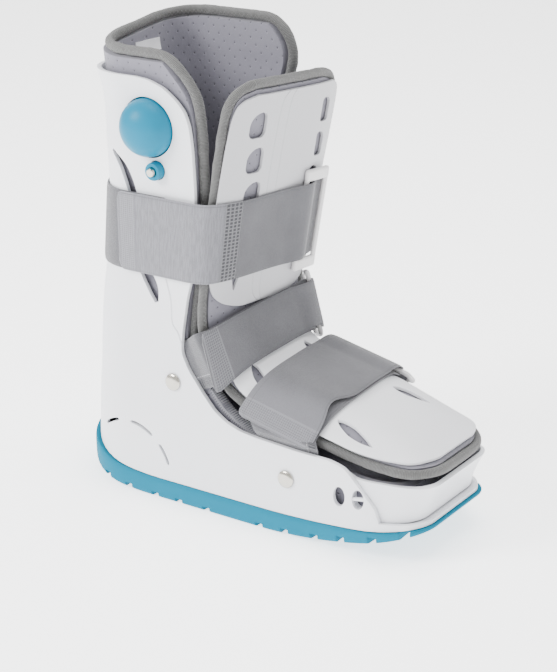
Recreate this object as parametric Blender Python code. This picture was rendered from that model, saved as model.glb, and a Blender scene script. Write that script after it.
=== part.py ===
"""Air walker boot: rigid shell and rocker sole, soft liner, padded front flap with two
plastic panels, three straps with rings, and an air pump with a release valve.

Frame: +X towards the toe, +Y towards the far side of the boot, +Z up, metres.
"""
from math import cos, pi, sin

import bmesh
import bpy
import numpy as np
from mathutils import Matrix, Vector

# Driving sizes of the sole and the shell
SOLE_LENGTH = 0.285
BOOT_WIDTH = 0.113
SOLE_THICKNESS = 0.015
HEEL_LIFT = 0.0114
HEEL_CUP = 0.018
TOE_LIFT = 0.022
TOE_BORDER_LIFT = 0.010
SHELL_HEIGHT = 0.295
SHELL_WALL = 0.003
SHELL_LIP = 0.0045
TREAD_DEPTH = 0.0035
TREAD_NOTCH = 0.006
TREAD_INSET = 0.009

# Driving sizes of the soft parts
LINER_RISE = 0.017
LINER_TILT = 0.0075
LINER_THICKNESS = 0.008
LINER_BINDING_RADIUS = 0.0034
PAD_THICKNESS = 0.007
PAD_EDGE_SHARE = 0.60
PAD_BINDING_RADIUS = 0.0031
PAD_WIDTH = 0.104
CLEARANCE = 0.0003
SOFT_CLEARANCE = 0.0005

# Driving sizes of the front panels
PANEL_WALL = 0.002
SHIN_PANEL_WIDTH = 0.098
INSTEP_PANEL_WIDTH = 0.088
SHIN_WINDOW_WIDTH = 0.0140
SHIN_WINDOW_HEIGHT = 0.0170
INSTEP_WINDOW_WIDTH = 0.0075

# Driving sizes of the toe bumper
BUMPER_WALL = 0.003
BUMPER_TOP = 0.0525
BUMPER_LEAN = 0.009
BUMPER_END_RISE = 0.004
BUMPER_LEAN_FROM = 0.79

# Driving sizes of the straps and rings
STRAP_THICKNESS = 0.0016
SHAFT_STRAP_WIDTH = 0.055
SHAFT_STRAP_LEVEL = 0.189
RING_BAR_RADIUS = 0.0018
RING_MARGIN = 0.0032
STRAP_CHANNEL = 0.0026

# Driving sizes of the air pump and the rivets
BULB_RADIUS = 0.0195
BULB_REACH = 0.0165
VALVE_RADIUS = 0.006
VALVE_REACH = 0.0055
VALVE_PIN_RADIUS = 0.003
VALVE_PIN_PROUD = 0.0025
VALVE_PIN_LENGTH = 0.0075
VALVE_TRAVEL = 0.002
PUMP_FLANGE = 0.0012
PUMP_FLANGE_RIM = 0.0015
RIVET_RADIUS = 0.006
RIVET_DOME = 0.0018
RIVET_RIM = 0.0004
RIVET_SHANK = 0.0022
RIVET_HOLE = 0.0032
TAG_WIDTH = 0.026
TAG_HEIGHT = 0.008
TAG_THICKNESS = 0.0006

HALF_LENGTH = SOLE_LENGTH / 2
HALF_WIDTH = BOOT_WIDTH / 2
CORNER_STEPS = 4
SIDE_STEPS = 4
TUBE_SIDES = 6

# Rows of the boot's body: shares of shell height, half length, half width and half width
SECTION_COLUMNS = ("height", "back", "half", "corner", "front")
SECTIONS = (
    (0.050, 0.975, 0.982, 0.88, 0.985),
    (0.136, 0.968, 0.975, 0.87, 0.975),
    (0.210, 0.961, 0.958, 0.85, 0.968),
    (0.288, 0.947, 0.925, 0.83, 0.800),
    (0.370, 0.933, 0.900, 0.79, 0.500),
    (0.441, 0.915, 0.887, 0.75, 0.300),
    (0.559, 0.867, 0.885, 0.68, 0.250),
    (0.678, 0.828, 0.903, 0.63, 0.250),
    (0.830, 0.835, 0.925, 0.65, 0.250),
    (0.949, 0.846, 0.960, 0.66, 0.250),
    (1.000, 0.866, 1.000, 0.65, 0.250),
    (1.120, 0.872, 1.010, 0.65, 0.250),
)
BODY_REFERENCE = 0.210

# Front edge of the shell seen from the side: shares of half length and of shell height
SHELL_EDGE = (
    (-0.512, 1.000), (-0.442, 0.997), (-0.358, 0.983), (-0.295, 0.959), (-0.253, 0.936),
    (-0.230, 0.905), (-0.218, 0.854), (-0.211, 0.742), (-0.218, 0.671), (-0.246, 0.553),
    (-0.274, 0.505), (-0.302, 0.424), (-0.309, 0.373), (-0.267, 0.336), (-0.182, 0.288),
    (-0.112, 0.254), (-0.042, 0.234), (0.042, 0.221), (0.140, 0.216), (0.358, 0.210),
    (0.540, 0.209), (0.618, 0.200), (0.665, 0.180), (0.709, 0.159), (0.779, 0.122),
)
# Front edge of the liner on the near side, then how much further the far side stands
LINER_EDGE_COLUMNS = ("along", "height", "far_along", "far_height")
LINER_EDGE = (
    (-0.470, 1.100, 0.150, 0.000), (-0.400, 1.035, 0.170, 0.045), (-0.345, 1.012, 0.170, 0.045),
    (-0.290, 0.986, 0.150, 0.030), (-0.250, 0.955, 0.090, 0.015), (-0.238, 0.915, 0.035, 0.000),
    (-0.230, 0.860, 0.020, 0.000), (-0.228, 0.742, 0.010, 0.000), (-0.232, 0.671, 0.000, 0.000),
    (-0.262, 0.553, 0.000, 0.000), (-0.284, 0.505, 0.000, 0.000), (-0.302, 0.424, 0.000, 0.000),
    (-0.302, 0.378, 0.000, 0.000), (-0.260, 0.344, 0.000, 0.000), (-0.162, 0.296, 0.000, 0.000),
    (-0.092, 0.258, 0.000, 0.000), (-0.022, 0.234, 0.000, 0.000), (0.060, 0.214, 0.000, 0.000),
    (0.150, 0.200, 0.000, 0.000), (0.320, 0.188, 0.000, 0.000), (0.600, 0.172, 0.000, 0.000),
    (1.100, 0.160, 0.000, 0.000),
)
LINER_BINDING_FROM = 1
LINER_BINDING_TO = 13

# Centre line of the front flap's outer face, top to toe, and how its sides fall away
FLAP_COLUMNS = ("along", "height", "tilt", "near_drop", "far_drop")
FLAP = (
    (0.067, 0.963, 0.14, 0.205, 0.060),
    (0.028, 0.864, 0.14, 0.205, 0.060),
    (-0.018, 0.732, 0.14, 0.200, 0.080),
    (-0.050, 0.640, 0.15, 0.160, 0.100),
    (-0.081, 0.549, 0.15, 0.120, 0.100),
    (-0.105, 0.475, 0.15, 0.090, 0.090),
    (-0.100, 0.424, 0.14, 0.100, 0.090),
    (-0.052, 0.380, 0.12, 0.200, 0.140),
    (0.028, 0.349, 0.12, 0.320, 0.190),
    (0.105, 0.334, 0.12, 0.360, 0.220),
    (0.210, 0.324, 0.12, 0.380, 0.240),
    (0.351, 0.310, 0.12, 0.380, 0.240),
    (0.505, 0.295, 0.12, 0.360, 0.220),
    (0.646, 0.275, 0.10, 0.330, 0.200),
    (0.800, 0.251, 0.06, 0.230, 0.150),
    (0.960, 0.226, 0.00, 0.080, 0.060),
)
FLAP_EXPONENT = 4.0
# Outlines of the pieces on the flap: share of the flap's length, middle, half width
OUTLINE_COLUMNS = ("share", "middle", "half")
PAD_OUTLINE = (
    (-0.014, 0.09, 0.64), (0.000, 0.09, 0.84), (0.030, 0.09, 0.92), (0.090, 0.09, 0.93),
    (0.220, 0.07, 0.91), (0.340, 0.05, 0.89), (0.400, 0.04, 0.88), (0.440, 0.03, 0.87),
    (0.475, 0.02, 0.86), (0.505, 0.01, 0.85), (0.530, 0.00, 0.85), (0.560, 0.00, 0.84),
    (0.600, 0.00, 0.84), (0.700, 0.00, 0.84), (0.800, 0.00, 0.84), (0.880, 0.00, 0.83),
    (0.940, 0.01, 0.81), (0.980, 0.02, 0.77), (1.010, 0.04, 0.64),
)
SHIN_PANEL_OUTLINE = (
    (-0.006, 0.19, 0.76), (0.006, 0.14, 0.91), (0.030, 0.11, 0.98), (0.090, 0.09, 1.00),
    (0.220, 0.06, 1.00), (0.340, 0.03, 0.99), (0.400, 0.03, 0.94), (0.425, 0.04, 0.80),
    (0.440, 0.06, 0.56),
)
INSTEP_PANEL_OUTLINE = (
    (0.517, 0.00, 0.66), (0.530, 0.00, 0.84), (0.560, 0.00, 0.95), (0.600, 0.00, 0.99),
    (0.700, 0.00, 1.00), (0.800, 0.00, 1.00), (0.880, 0.01, 1.00), (0.940, 0.05, 0.98),
    (0.980, 0.09, 0.91), (1.002, 0.14, 0.74),
)
GRID_COLUMNS = 9
GRID_BIAS = 0.62

# Places on the shell's side: shares of half length and of shell height
ANKLE_RIVET = (-0.351, 0.298)
TOE_RIVET = (0.309, 0.139)
BULB_PLACE = (-0.463, 0.888)
VALVE_PLACE = (-0.421, 0.793)
TOE_SLOTS = ((0.596, 0.132), (0.695, 0.136))
TOE_SLOT_SIZE = (0.0065, 0.0105)
HEEL_CRESCENT_CENTRE = (-0.617, 0.051)
HEEL_CRESCENT_RADIUS = 0.0365
HEEL_CRESCENT_SLIT = 0.0016
HEEL_CRESCENT_SPANS = ((104, 130), (55, 88), (18, 44))
REAR_SLOT = (
    (-0.690, 0.822, 0.30), (-0.610, 0.780, 0.90), (-0.555, 0.700, 1.00),
    (-0.525, 0.570, 1.00), (-0.475, 0.515, 0.80), (-0.452, 0.480, 0.25),
)
REAR_SLOT_WIDTH = 0.0075

# Windows of the shin panel: middle of each row as shares of pad half width and shell height
SHIN_WINDOW_COLUMNS = ("near", "far", "height")
SHIN_WINDOWS = ((-0.590, 0.740, 0.890), (-0.540, 0.740, 0.815), (-0.500, 0.735, 0.742))
SHIN_LOW_WINDOW = (-0.520, 0.567)
# Pointed windows of the instep panel: both ends as shares of half length and half width
INSTEP_WINDOWS = (
    (0.480, -0.560, 0.700, -0.670), (0.540, 0.420, 0.725, 0.560),
    (-0.030, -0.430, 0.120, -0.640), (0.030, 0.470, 0.180, 0.370),
)

# Shaft strap: where its inner end lies, where it leaves the far wall and where it ends
SHAFT_STRAP_OVERLAP = -0.380
SHAFT_STRAP_LEAVES = -0.270
SHAFT_STRAP_END = -0.655
SHAFT_STRAP_BULGE = 0.007
# Shaft strap over the flap: place across the pad and lift in ring bar radii
SHAFT_STRAP_CROSSING = (
    (1.00, 0.4), (0.90, 0.3), (0.76, 0.4), (0.66, 2.3), (0.58, 2.5), (0.48, 2.0), (0.30, 0.7),
    (0.00, 0.2), (-0.40, 0.2), (-0.60, 0.2), (-0.74, 0.2), (-0.84, 0.2), (-0.92, 0.2),
)
SHAFT_RING_ACROSS = (0.58, 0.92)

# Ankle strap: side places of both edges inside the shell, then shares along the flap
TAIL_COLUMNS = ("lower_along", "lower_height", "upper_along", "upper_height")
ANKLE_TAIL = (
    (-0.400, 0.240, -0.490, 0.325), (-0.300, 0.268, -0.410, 0.368),
    (-0.235, 0.282, -0.330, 0.392), (-0.177, 0.296, -0.290, 0.403),
)
ANKLE_OVER = ((-0.085, 0.318), (-0.212, 0.430))
STRAP_COLUMNS = ("across", "lower", "upper")
ANKLE_LAYER = (
    (-0.930, 0.566, 0.476), (-0.840, 0.566, 0.473), (-0.720, 0.566, 0.469),
    (-0.560, 0.566, 0.463), (-0.200, 0.566, 0.454), (0.200, 0.566, 0.446),
    (0.560, 0.566, 0.440), (0.720, 0.566, 0.438), (0.840, 0.566, 0.437),
)
ANKLE_RING_ACROSS = 0.930
ANKLE_FAR_BAR = (-0.084, 0.210, -0.020)
ANKLE_TAB_OVER = ((-0.120, 0.318), (-0.225, 0.418))
# Toe strap, laid out in the same way
TOE_TAIL = (
    (0.400, 0.108, 0.200, 0.108), (0.430, 0.165, 0.150, 0.170), (0.455, 0.200, 0.125, 0.207),
    (0.460, 0.213, 0.122, 0.219),
)
TOE_OVER = ((0.470, 0.229), (0.117, 0.237))
TOE_LAYER = (
    (-0.900, 0.775, 0.604), (-0.820, 0.776, 0.603), (-0.720, 0.777, 0.602),
    (-0.560, 0.778, 0.602), (-0.200, 0.780, 0.602), (0.200, 0.781, 0.603),
    (0.560, 0.782, 0.604), (0.720, 0.782, 0.604), (0.840, 0.782, 0.604),
)
TOE_RING_ACROSS = 0.930
TOE_FAR_BAR = (0.0, 0.175, -0.030)
TOE_TAB_OVER = ((0.480, 0.244), (0.130, 0.252))
STRAP_GAP = 0.0009
TAB_REACH = 0.0072

# Colours of the materials
COLOURS = {
    "shell_white": (0.79, 0.80, 0.83, 0.38, 0.0),
    "panel_white": (0.74, 0.74, 0.77, 0.36, 0.0),
    "sole_blue": (0.035, 0.52, 0.78, 0.55, 0.0),
    "pump_blue": (0.02, 0.45, 0.75, 0.18, 0.0),
    "liner_fabric": (0.30, 0.29, 0.36, 0.95, 0.0),
    "binding_tape": (0.36, 0.36, 0.34, 0.92, 0.0),
    "strap_grey": (0.37, 0.37, 0.40, 0.93, 0.0),
    "ring_plastic": (0.72, 0.71, 0.71, 0.40, 0.0),
    "rivet_metal": (0.86, 0.85, 0.82, 0.16, 1.0),
    "tag_cloth": (0.86, 0.86, 0.88, 0.90, 0.0),
}


def clear_scene():
    for item in list(bpy.data.objects):
        bpy.data.objects.remove(item, do_unlink=True)


def material(name):
    """Principled material with the colour, roughness and metallic value of the part."""
    known = bpy.data.materials.get(name)
    if known:
        return known
    red, green, blue, roughness, metallic = COLOURS[name]
    made = bpy.data.materials.new(name)
    made.use_nodes = True
    shader = made.node_tree.nodes["Principled BSDF"]
    shader.inputs["Base Color"].default_value = (red, green, blue, 1)
    shader.inputs["Roughness"].default_value = roughness
    shader.inputs["Metallic"].default_value = metallic
    return made


def add_solid(name, vertices, faces, finish, root, smooth_degrees=40):
    """Closed solid from vertices and faces, with its faces turned outwards."""
    mesh = bpy.data.meshes.new(name)
    mesh.from_pydata([tuple(point) for point in vertices], [], faces)
    work = bmesh.new()
    work.from_mesh(mesh)
    bmesh.ops.remove_doubles(work, verts=work.verts, dist=1e-6)
    bmesh.ops.triangulate(work, faces=work.faces)
    bmesh.ops.recalc_face_normals(work, faces=work.faces)
    work.to_mesh(mesh)
    work.free()
    mesh.materials.append(material(finish))
    mesh.shade_smooth()
    mesh.set_sharp_from_angle(angle=smooth_degrees * pi / 180)
    item = bpy.data.objects.new(name, mesh)
    bpy.context.scene.collection.objects.link(item)
    item.parent = root
    return item


def add_cutter(name, vertices, faces, root):
    """Hidden closed body that is cut out of another piece."""
    cutter = add_solid(name, vertices, faces, "shell_white", root)
    cutter.hide_render = True
    cutter.display_type = "WIRE"
    return cutter


def cut(item, cutter):
    boolean = item.modifiers.new("cut_" + cutter.name, "BOOLEAN")
    boolean.operation = "DIFFERENCE"
    boolean.solver = "EXACT"
    boolean.object = cutter


def column(table, columns, name):
    return np.array([row[columns.index(name)] for row in table])


def smooth_read(places, values, at):
    """Cubic read of a table whose slopes come from each row's neighbours."""
    places = np.asarray(places, float)
    values = np.asarray(values, float)
    slopes = np.gradient(values, places, axis=0)
    cell = int(np.clip(np.searchsorted(places, at) - 1, 0, len(places) - 2))
    width = places[cell + 1] - places[cell]
    t = np.clip((at - places[cell]) / width, -0.6, 1.6)
    if t < 0 or t > 1:
        edge = cell if t < 0 else cell + 1
        return values[edge] + slopes[edge] * (at - places[edge])
    start = values[cell] * (1 + 2 * t) * (1 - t) ** 2 + slopes[cell] * width * t * (1 - t) ** 2
    end = values[cell + 1] * t * t * (3 - 2 * t) + slopes[cell + 1] * width * t * t * (t - 1)
    return start + end


def section(height):
    """Back, half width, corner radius and front of the body at a height."""
    share = height / SHELL_HEIGHT
    rows = column(SECTIONS, SECTION_COLUMNS, "height")
    read = {name: np.interp(share, rows, column(SECTIONS, SECTION_COLUMNS, name))
            for name in SECTION_COLUMNS}
    half = read["half"] * HALF_WIDTH
    return read["back"] * HALF_LENGTH, half, read["corner"] * half, read["front"] * HALF_LENGTH


def half_outline(back, half, corner, front, inset=0.0):
    """Near half of a plan outline, from the back corner to the front corner."""
    back, half, front = back - inset, half - inset, front - inset
    corner = max(corner - inset, 0.002)
    front_x = min(0.29 * HALF_LENGTH, front + back - corner) - inset
    front_y = 0.50 * HALF_WIDTH - inset
    points = []
    for step in range(CORNER_STEPS + 1):
        turn = step / CORNER_STEPS * pi / 2
        points.append((-back + corner - corner * cos(turn), -half + corner - corner * sin(turn)))
    start, end = -back + corner, front - front_x
    for step in range(1, SIDE_STEPS):
        points.append((start + (end - start) * step / SIDE_STEPS, -half))
    for step in range(CORNER_STEPS + 1):
        turn = step / CORNER_STEPS * pi / 2
        points.append((front - front_x + front_x * sin(turn), -half + front_y - front_y * cos(turn)))
    return points


def mirrored_ring(near):
    return near + [(x, -y) for x, y in reversed(near)]


def border(x):
    """Height of the line where the shell meets the sole."""
    heel = max(0.0, (-x - 0.42 * HALF_LENGTH) / (0.56 * HALF_LENGTH))
    toe = max(0.0, (x - 0.14 * HALF_LENGTH) / (0.86 * HALF_LENGTH))
    return SOLE_THICKNESS + HEEL_CUP * heel ** 2.2 + TOE_BORDER_LIFT * toe ** 2


def ground(x):
    """Height of the rocker bottom."""
    heel = max(0.0, (-x - 0.49 * HALF_LENGTH) / (0.51 * HALF_LENGTH))
    toe = max(0.0, (x - 0.14 * HALF_LENGTH) / (0.86 * HALF_LENGTH))
    return HEEL_LIFT * heel ** 2 + TOE_LIFT * toe ** 2


def body_height(share, x, lift=0.0):
    """Height of a body row at x: low rows follow the border, high rows are level."""
    reference = BODY_REFERENCE * SHELL_HEIGHT
    level = share * SHELL_HEIGHT
    if level >= reference:
        return level
    low = SECTIONS[0][0] * SHELL_HEIGHT
    base = border(x) + lift
    return base + (level - low) / (reference - low) * (reference - base)


def body_row(share, inset=0.0, lift=0.0, front_inset=0.0):
    """Closed ring of the body at a share of the shell height."""
    back, half, corner, front = section(share * SHELL_HEIGHT)
    ring = mirrored_ring(half_outline(back, half, corner, front - front_inset, inset))
    return [Vector((x, y, body_height(share, x, lift))) for x, y in ring]


def ladder(ring, first):
    """Cap of a ring that mirrors about the middle plane."""
    last = first + len(ring) - 1
    return [(first + index, first + index + 1, last - index - 1, last - index)
            for index in range(len(ring) // 2 - 1)]


def band_faces(count, first, second):
    return [(first + i, first + (i + 1) % count, second + (i + 1) % count, second + i)
            for i in range(count)]


def vessel(name, outer, inner, finish, root):
    """Open-topped vessel: outer rings bottom to top, inner rings top to floor."""
    rings = outer + inner
    count = len(rings[0])
    vertices = [point for ring in rings for point in ring]
    faces = []
    for index in range(len(rings) - 1):
        faces += band_faces(count, index * count, (index + 1) * count)
    faces += ladder(rings[0], 0)
    faces += ladder(rings[-1], (len(rings) - 1) * count)
    return add_solid(name, vertices, faces, finish, root, smooth_degrees=50)


def prism(name, first, second, root):
    """Closed cutter between two outlines of as many points each."""
    count = len(first)
    faces = [tuple(range(count)), tuple(range(2 * count - 1, count - 1, -1))]
    faces += band_faces(count, 0, count)
    return add_cutter(name, list(first) + list(second), faces, root)


def prism_between(name, near, far, y_near, y_far, root):
    """Closed cutter between two side-view outlines."""
    return prism(name, [(x, y_near, z) for x, z in near], [(x, y_far, z) for x, z in far], root)


def shell_edge():
    return [(x * HALF_LENGTH, z * SHELL_HEIGHT) for x, z in SHELL_EDGE]


def sheet_solid(name, grid, thickness, finish, root, smooth_degrees=40, centred=False):
    """Closed sheet: the grid is its outer face, or its middle where centred is set."""
    rows, columns = grid.shape[:2]
    thickness = np.broadcast_to(thickness, (rows, columns))[..., None]
    if centred:
        grid = grid + grid_normals(grid) * thickness / 2
    inner = grid - grid_normals(grid) * thickness
    vertices = [tuple(point) for point in np.concatenate([grid.reshape(-1, 3), inner.reshape(-1, 3)])]
    offset = rows * columns
    faces = []
    for row in range(rows - 1):
        for col in range(columns - 1):
            quad = (row * columns + col, row * columns + col + 1,
                    (row + 1) * columns + col + 1, (row + 1) * columns + col)
            faces.append(quad)
            faces.append(tuple(offset + index for index in reversed(quad)))
    rim = rim_order(rows, columns)
    for index, here in enumerate(rim):
        after = rim[(index + 1) % len(rim)]
        faces.append((here, after, offset + after, offset + here))
    return add_solid(name, vertices, faces, finish, root, smooth_degrees)


def rim_order(rows, columns):
    top = [col for col in range(columns)]
    right = [row * columns + columns - 1 for row in range(1, rows)]
    bottom = [(rows - 1) * columns + col for col in range(columns - 2, -1, -1)]
    left = [row * columns for row in range(rows - 2, 0, -1)]
    return top + right + bottom + left


def grid_normals(grid):
    """Unit normals of a grid of points, by the cross product of its two directions."""
    down = np.gradient(grid, axis=0)
    across = np.gradient(grid, axis=1)
    normals = np.cross(down, across)
    return normals / np.linalg.norm(normals, axis=2, keepdims=True)


def tube(name, path, radius, finish, root, closed=False, sides=TUBE_SIDES, flat=1.0):
    """Round tube along a path, its rings carried along without twist."""
    points = [Vector(point) for point in path]
    count = len(points)
    across = None
    vertices = []
    for index, point in enumerate(points):
        before = points[index - 1] if closed or index else points[0]
        after = points[(index + 1) % count] if closed or index < count - 1 else points[-1]
        along = (after - before).normalized()
        if across is None:
            across = along.orthogonal().normalized()
        across = (across - along * across.dot(along)).normalized()
        beside = along.cross(across)
        for side in range(sides):
            turn = 2 * pi * (side + 0.5) / sides
            vertices.append(point + radius * (across * cos(turn) * flat + beside * sin(turn)))
    faces = []
    for index in range(count - (0 if closed else 1)):
        faces += band_faces(sides, index * sides, (index + 1) % count * sides)
    if not closed:
        faces += [tuple(range(sides)), tuple(range((count - 1) * sides, count * sides))]
    return add_solid(name, vertices, faces, finish, root, smooth_degrees=70)


def turned(name, profile, steps, place, axis, finish, root):
    """Solid of revolution: profile rows are (distance along the axis, radius)."""
    turn = Vector((0, 0, 1)).rotation_difference(Vector(axis)).to_matrix().to_4x4()
    frame = Matrix.Translation(Vector(place)) @ turn
    vertices = [frame @ Vector((0, 0, profile[0][0]))]
    for distance, radius in profile:
        for step in range(steps):
            angle = 2 * pi * step / steps
            vertices.append(frame @ Vector((radius * cos(angle), radius * sin(angle), distance)))
    vertices.append(frame @ Vector((0, 0, profile[-1][0])))
    faces = [(0, 1 + (step + 1) % steps, 1 + step) for step in range(steps)]
    for row in range(len(profile) - 1):
        faces += band_faces(steps, 1 + row * steps, 1 + (row + 1) * steps)
    last = len(vertices) - 1
    start = 1 + (len(profile) - 1) * steps
    faces += [(last, start + step, start + (step + 1) % steps) for step in range(steps)]
    return add_solid(name, vertices, faces, finish, root)


def build_outsole(root):
    """Rocker sole with a raised heel cup, tread grooves across and edge notches."""
    rings = []
    top_share = SECTIONS[0][0]
    outline = body_row(top_share)
    for inset, share in ((TREAD_INSET * 0.25, 0.0), (0.0, 0.25), (0.0, 1.0)):
        back, half, corner, front = section(top_share * SHELL_HEIGHT)
        ring = mirrored_ring(half_outline(back + 0.0035, half + 0.001, corner,
                                          front + 0.002, inset))
        row = []
        for (x, y), over in zip(ring, outline):
            high = border(over.x) - CLEARANCE
            row.append(Vector((x, y, ground(x) + share * (high - ground(x)))))
        rings.append(row)
    count = len(outline)
    vertices = [point for ring in rings for point in ring]
    faces = band_faces(count, 0, count) + band_faces(count, count, 2 * count)
    faces += ladder(rings[0], 0) + ladder(rings[2], 2 * count)
    sole = add_solid("outsole", vertices, faces, "sole_blue", root)
    for index, cutter in enumerate(tread_cutters(root)):
        cut(sole, cutter)
    return sole


def tread_cutters(root):
    """Grooves across the sole in three groups: heel, waist and ball."""
    cutters = []
    pitch = SOLE_LENGTH / 13
    for index in range(13):
        middle = -HALF_LENGTH + (index + 0.5) * pitch
        skew = 0.10 * pitch * (1 if index % 2 else -1)
        top = max(ground(middle - pitch / 4), ground(middle + pitch / 4)) + TREAD_DEPTH
        if abs(middle) < 0.3 * pitch:
            continue
        near = [(middle - TREAD_NOTCH / 2, -0.02), (middle + TREAD_NOTCH / 2, -0.02),
                (middle + TREAD_NOTCH / 2, top), (middle - TREAD_NOTCH / 2, top)]
        far = [(x + skew, z) for x, z in near]
        cutters.append(prism_between("tread_cutter_%02d" % index, near, far,
                                     -HALF_WIDTH - 0.01, -HALF_WIDTH * 0.62, root))
        cutters.append(prism_between("tread_cutter_far_%02d" % index, near, far,
                                     HALF_WIDTH * 0.62, HALF_WIDTH + 0.01, root))
    return cutters


def build_shell(root):
    """Rigid shell: floor, heel cup, sides and the back of the shaft."""
    shares = [row[0] for row in SECTIONS[:-1]]
    outer = [body_row(share) for share in shares]
    inner = [body_row(share, SHELL_WALL, SHELL_WALL) for share in reversed(shares)]
    shell = vessel("shell", outer, inner, "shell_white", root)
    lip = border(HALF_LENGTH * 0.85) + SHELL_LIP
    edge = shell_edge() + [(0.80 * HALF_LENGTH, lip), (2 * HALF_LENGTH, lip + 0.004)]
    high = 2 * SHELL_HEIGHT
    outline = [(edge[0][0], high)] + edge + [(2 * HALF_LENGTH, high)]
    cut(shell, prism_between("shell_front_cutter", outline, outline,
                             -BOOT_WIDTH, BOOT_WIDTH, root))
    for cutter in shell_hole_cutters(root):
        cut(shell, cutter)
    return shell


def side_place(place):
    return place[0] * HALF_LENGTH, place[1] * SHELL_HEIGHT


def disc_outline(centre, radius, stretch=1.0, steps=16):
    return [(centre[0] + radius * cos(2 * pi * step / steps),
             centre[1] + radius * stretch * sin(2 * pi * step / steps)) for step in range(steps)]


def shell_hole_cutters(root):
    """Openings in the shell's sides: pump, valve, rivets, toe slots, slits and rear slots."""
    near, middle, far = -BOOT_WIDTH, 0.0, BOOT_WIDTH
    cutters = []

    def through(name, outline, first, second):
        cutters.append(prism_between(name, outline, outline, first, second, root))

    through("bulb_hole", disc_outline(side_place(BULB_PLACE), BULB_RADIUS + 3 * CLEARANCE, 1.0, 18),
            near, middle)
    through("valve_hole", disc_outline(side_place(VALVE_PLACE), VALVE_RADIUS + 2 * CLEARANCE, 1.0, 10),
            near, middle)
    for name, place in (("ankle", ANKLE_RIVET), ("toe", TOE_RIVET)):
        hole = disc_outline(side_place(place), RIVET_HOLE, 1.0, 8)
        through(name + "_rivet_hole", hole, near, far)
    for index, place in enumerate(TOE_SLOTS):
        width, height = TOE_SLOT_SIZE
        slot = disc_outline(side_place(place), width / 2, height / width, 8)
        through("toe_slot_%d" % index, slot, near, far)
    for index, span in enumerate(HEEL_CRESCENT_SPANS):
        through("heel_slit_%d" % index, crescent_outline(span), near, far)
    through("rear_slot", rear_slot_outline(), near, far)
    return cutters


def crescent_outline(span):
    """Thin slit along the heel crescent between two angles in degrees."""
    centre = side_place(HEEL_CRESCENT_CENTRE)
    angles = np.linspace(span[0], span[1], 3) * pi / 180
    outer = [(centre[0] + (HEEL_CRESCENT_RADIUS + HEEL_CRESCENT_SLIT / 2) * cos(a),
              centre[1] + (HEEL_CRESCENT_RADIUS + HEEL_CRESCENT_SLIT / 2) * sin(a)) for a in angles]
    inner = [(centre[0] + (HEEL_CRESCENT_RADIUS - HEEL_CRESCENT_SLIT / 2) * cos(a),
              centre[1] + (HEEL_CRESCENT_RADIUS - HEEL_CRESCENT_SLIT / 2) * sin(a)) for a in angles]
    return outer + inner[::-1]


def rear_slot_outline():
    """Long curved slot behind the shaft strap, its width from the table's last column."""
    line = np.array([side_place(row[:2]) for row in REAR_SLOT])
    along = np.gradient(line, axis=0)
    along /= np.linalg.norm(along, axis=1, keepdims=True)
    across = np.stack([along[:, 1], -along[:, 0]], axis=1)
    width = np.array([row[2] for row in REAR_SLOT])[:, None] * REAR_SLOT_WIDTH / 2
    return [tuple(p) for p in line + across * width] + [tuple(p) for p in (line - across * width)[::-1]]


def build_toe_bumper(root):
    """Wall around the toe that stands inside the shell's lip and leans out at its top."""
    wall_inset = SHELL_WALL + CLEARANCE
    start = 0.60 * HALF_LENGTH
    rows = []
    for share in (0.0, 0.35, 0.7, 1.0):
        level = SOLE_THICKNESS + share * (BUMPER_TOP + BUMPER_END_RISE - SOLE_THICKNESS)
        back, half, corner, front = section(level)
        front = section(SECTIONS[1][0] * SHELL_HEIGHT)[3]
        near = half_outline(back, half, corner, front, wall_inset)
        near = [(start, near[-CORNER_STEPS - 2][1])] + [p for p in near if p[0] > start + 0.001]
        row = []
        for x, y in mirrored_ring(near):
            low = border(x) + SHELL_WALL + 3 * CLEARANCE
            end = max(0.0, 1 - (x - start) / (0.07 * HALF_LENGTH))
            high = BUMPER_TOP + BUMPER_END_RISE * end
            ahead = min(1.0, max(0.0, (x - BUMPER_LEAN_FROM * HALF_LENGTH) / (0.12 * HALF_LENGTH)))
            out = BUMPER_LEAN * share ** 1.5 * ahead
            row.append((x + out, y * (1 + 0.25 * out / HALF_WIDTH), low + share * (high - low)))
        rows.append(row)
    grid = np.array(rows[::-1])
    return sheet_solid("toe_bumper", grid, BUMPER_WALL, "shell_white", root)


def liner_inset(share):
    """Liner clearance to the shell: it also clears the bumper low down."""
    low = SHELL_WALL + BUMPER_WALL + 2 * CLEARANCE + SOFT_CLEARANCE
    high = SHELL_WALL + STRAP_CHANNEL
    return float(np.interp(share, (0.0, BODY_REFERENCE, 0.30, 2.0), (low, low, high, high)))


def liner_row(share, extra, lift):
    ring = body_row(share, liner_inset(share) + extra, lift, front_inset=0.004)
    if share > 1.05:
        for point in ring:
            point.z += LINER_TILT * point.y / HALF_WIDTH
    return ring


def build_liner(root):
    """Foam bootie with a floor, a heel and a calf wrap, open along the front."""
    top = 1.0 + LINER_RISE / SHELL_HEIGHT
    shares = [row[0] for row in SECTIONS[:-1]] + [top]
    floor = SHELL_WALL + CLEARANCE
    outer = [liner_row(share, 0.0, floor) for share in shares]
    inner = [liner_row(share, LINER_THICKNESS, floor + LINER_THICKNESS / 2)
             for share in reversed(shares)]
    liner = vessel("liner", outer, inner, "liner_fabric", root)
    near, far = liner_edges()
    high = 2 * SHELL_HEIGHT
    near_outline = [(near[0][0], high)] + near + [(near[-1][0], high)]
    far_outline = [(far[0][0], high)] + far + [(far[-1][0], high)]
    cut(liner, prism_between("liner_front_cutter", near_outline, far_outline,
                             -HALF_WIDTH, HALF_WIDTH, root))
    return liner


def liner_edges():
    near = []
    far = []
    for along, height, far_along, far_height in LINER_EDGE:
        near.append((along * HALF_LENGTH, height * SHELL_HEIGHT))
        far.append(((along + far_along) * HALF_LENGTH, (height + far_height) * SHELL_HEIGHT))
    return near, far


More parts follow.
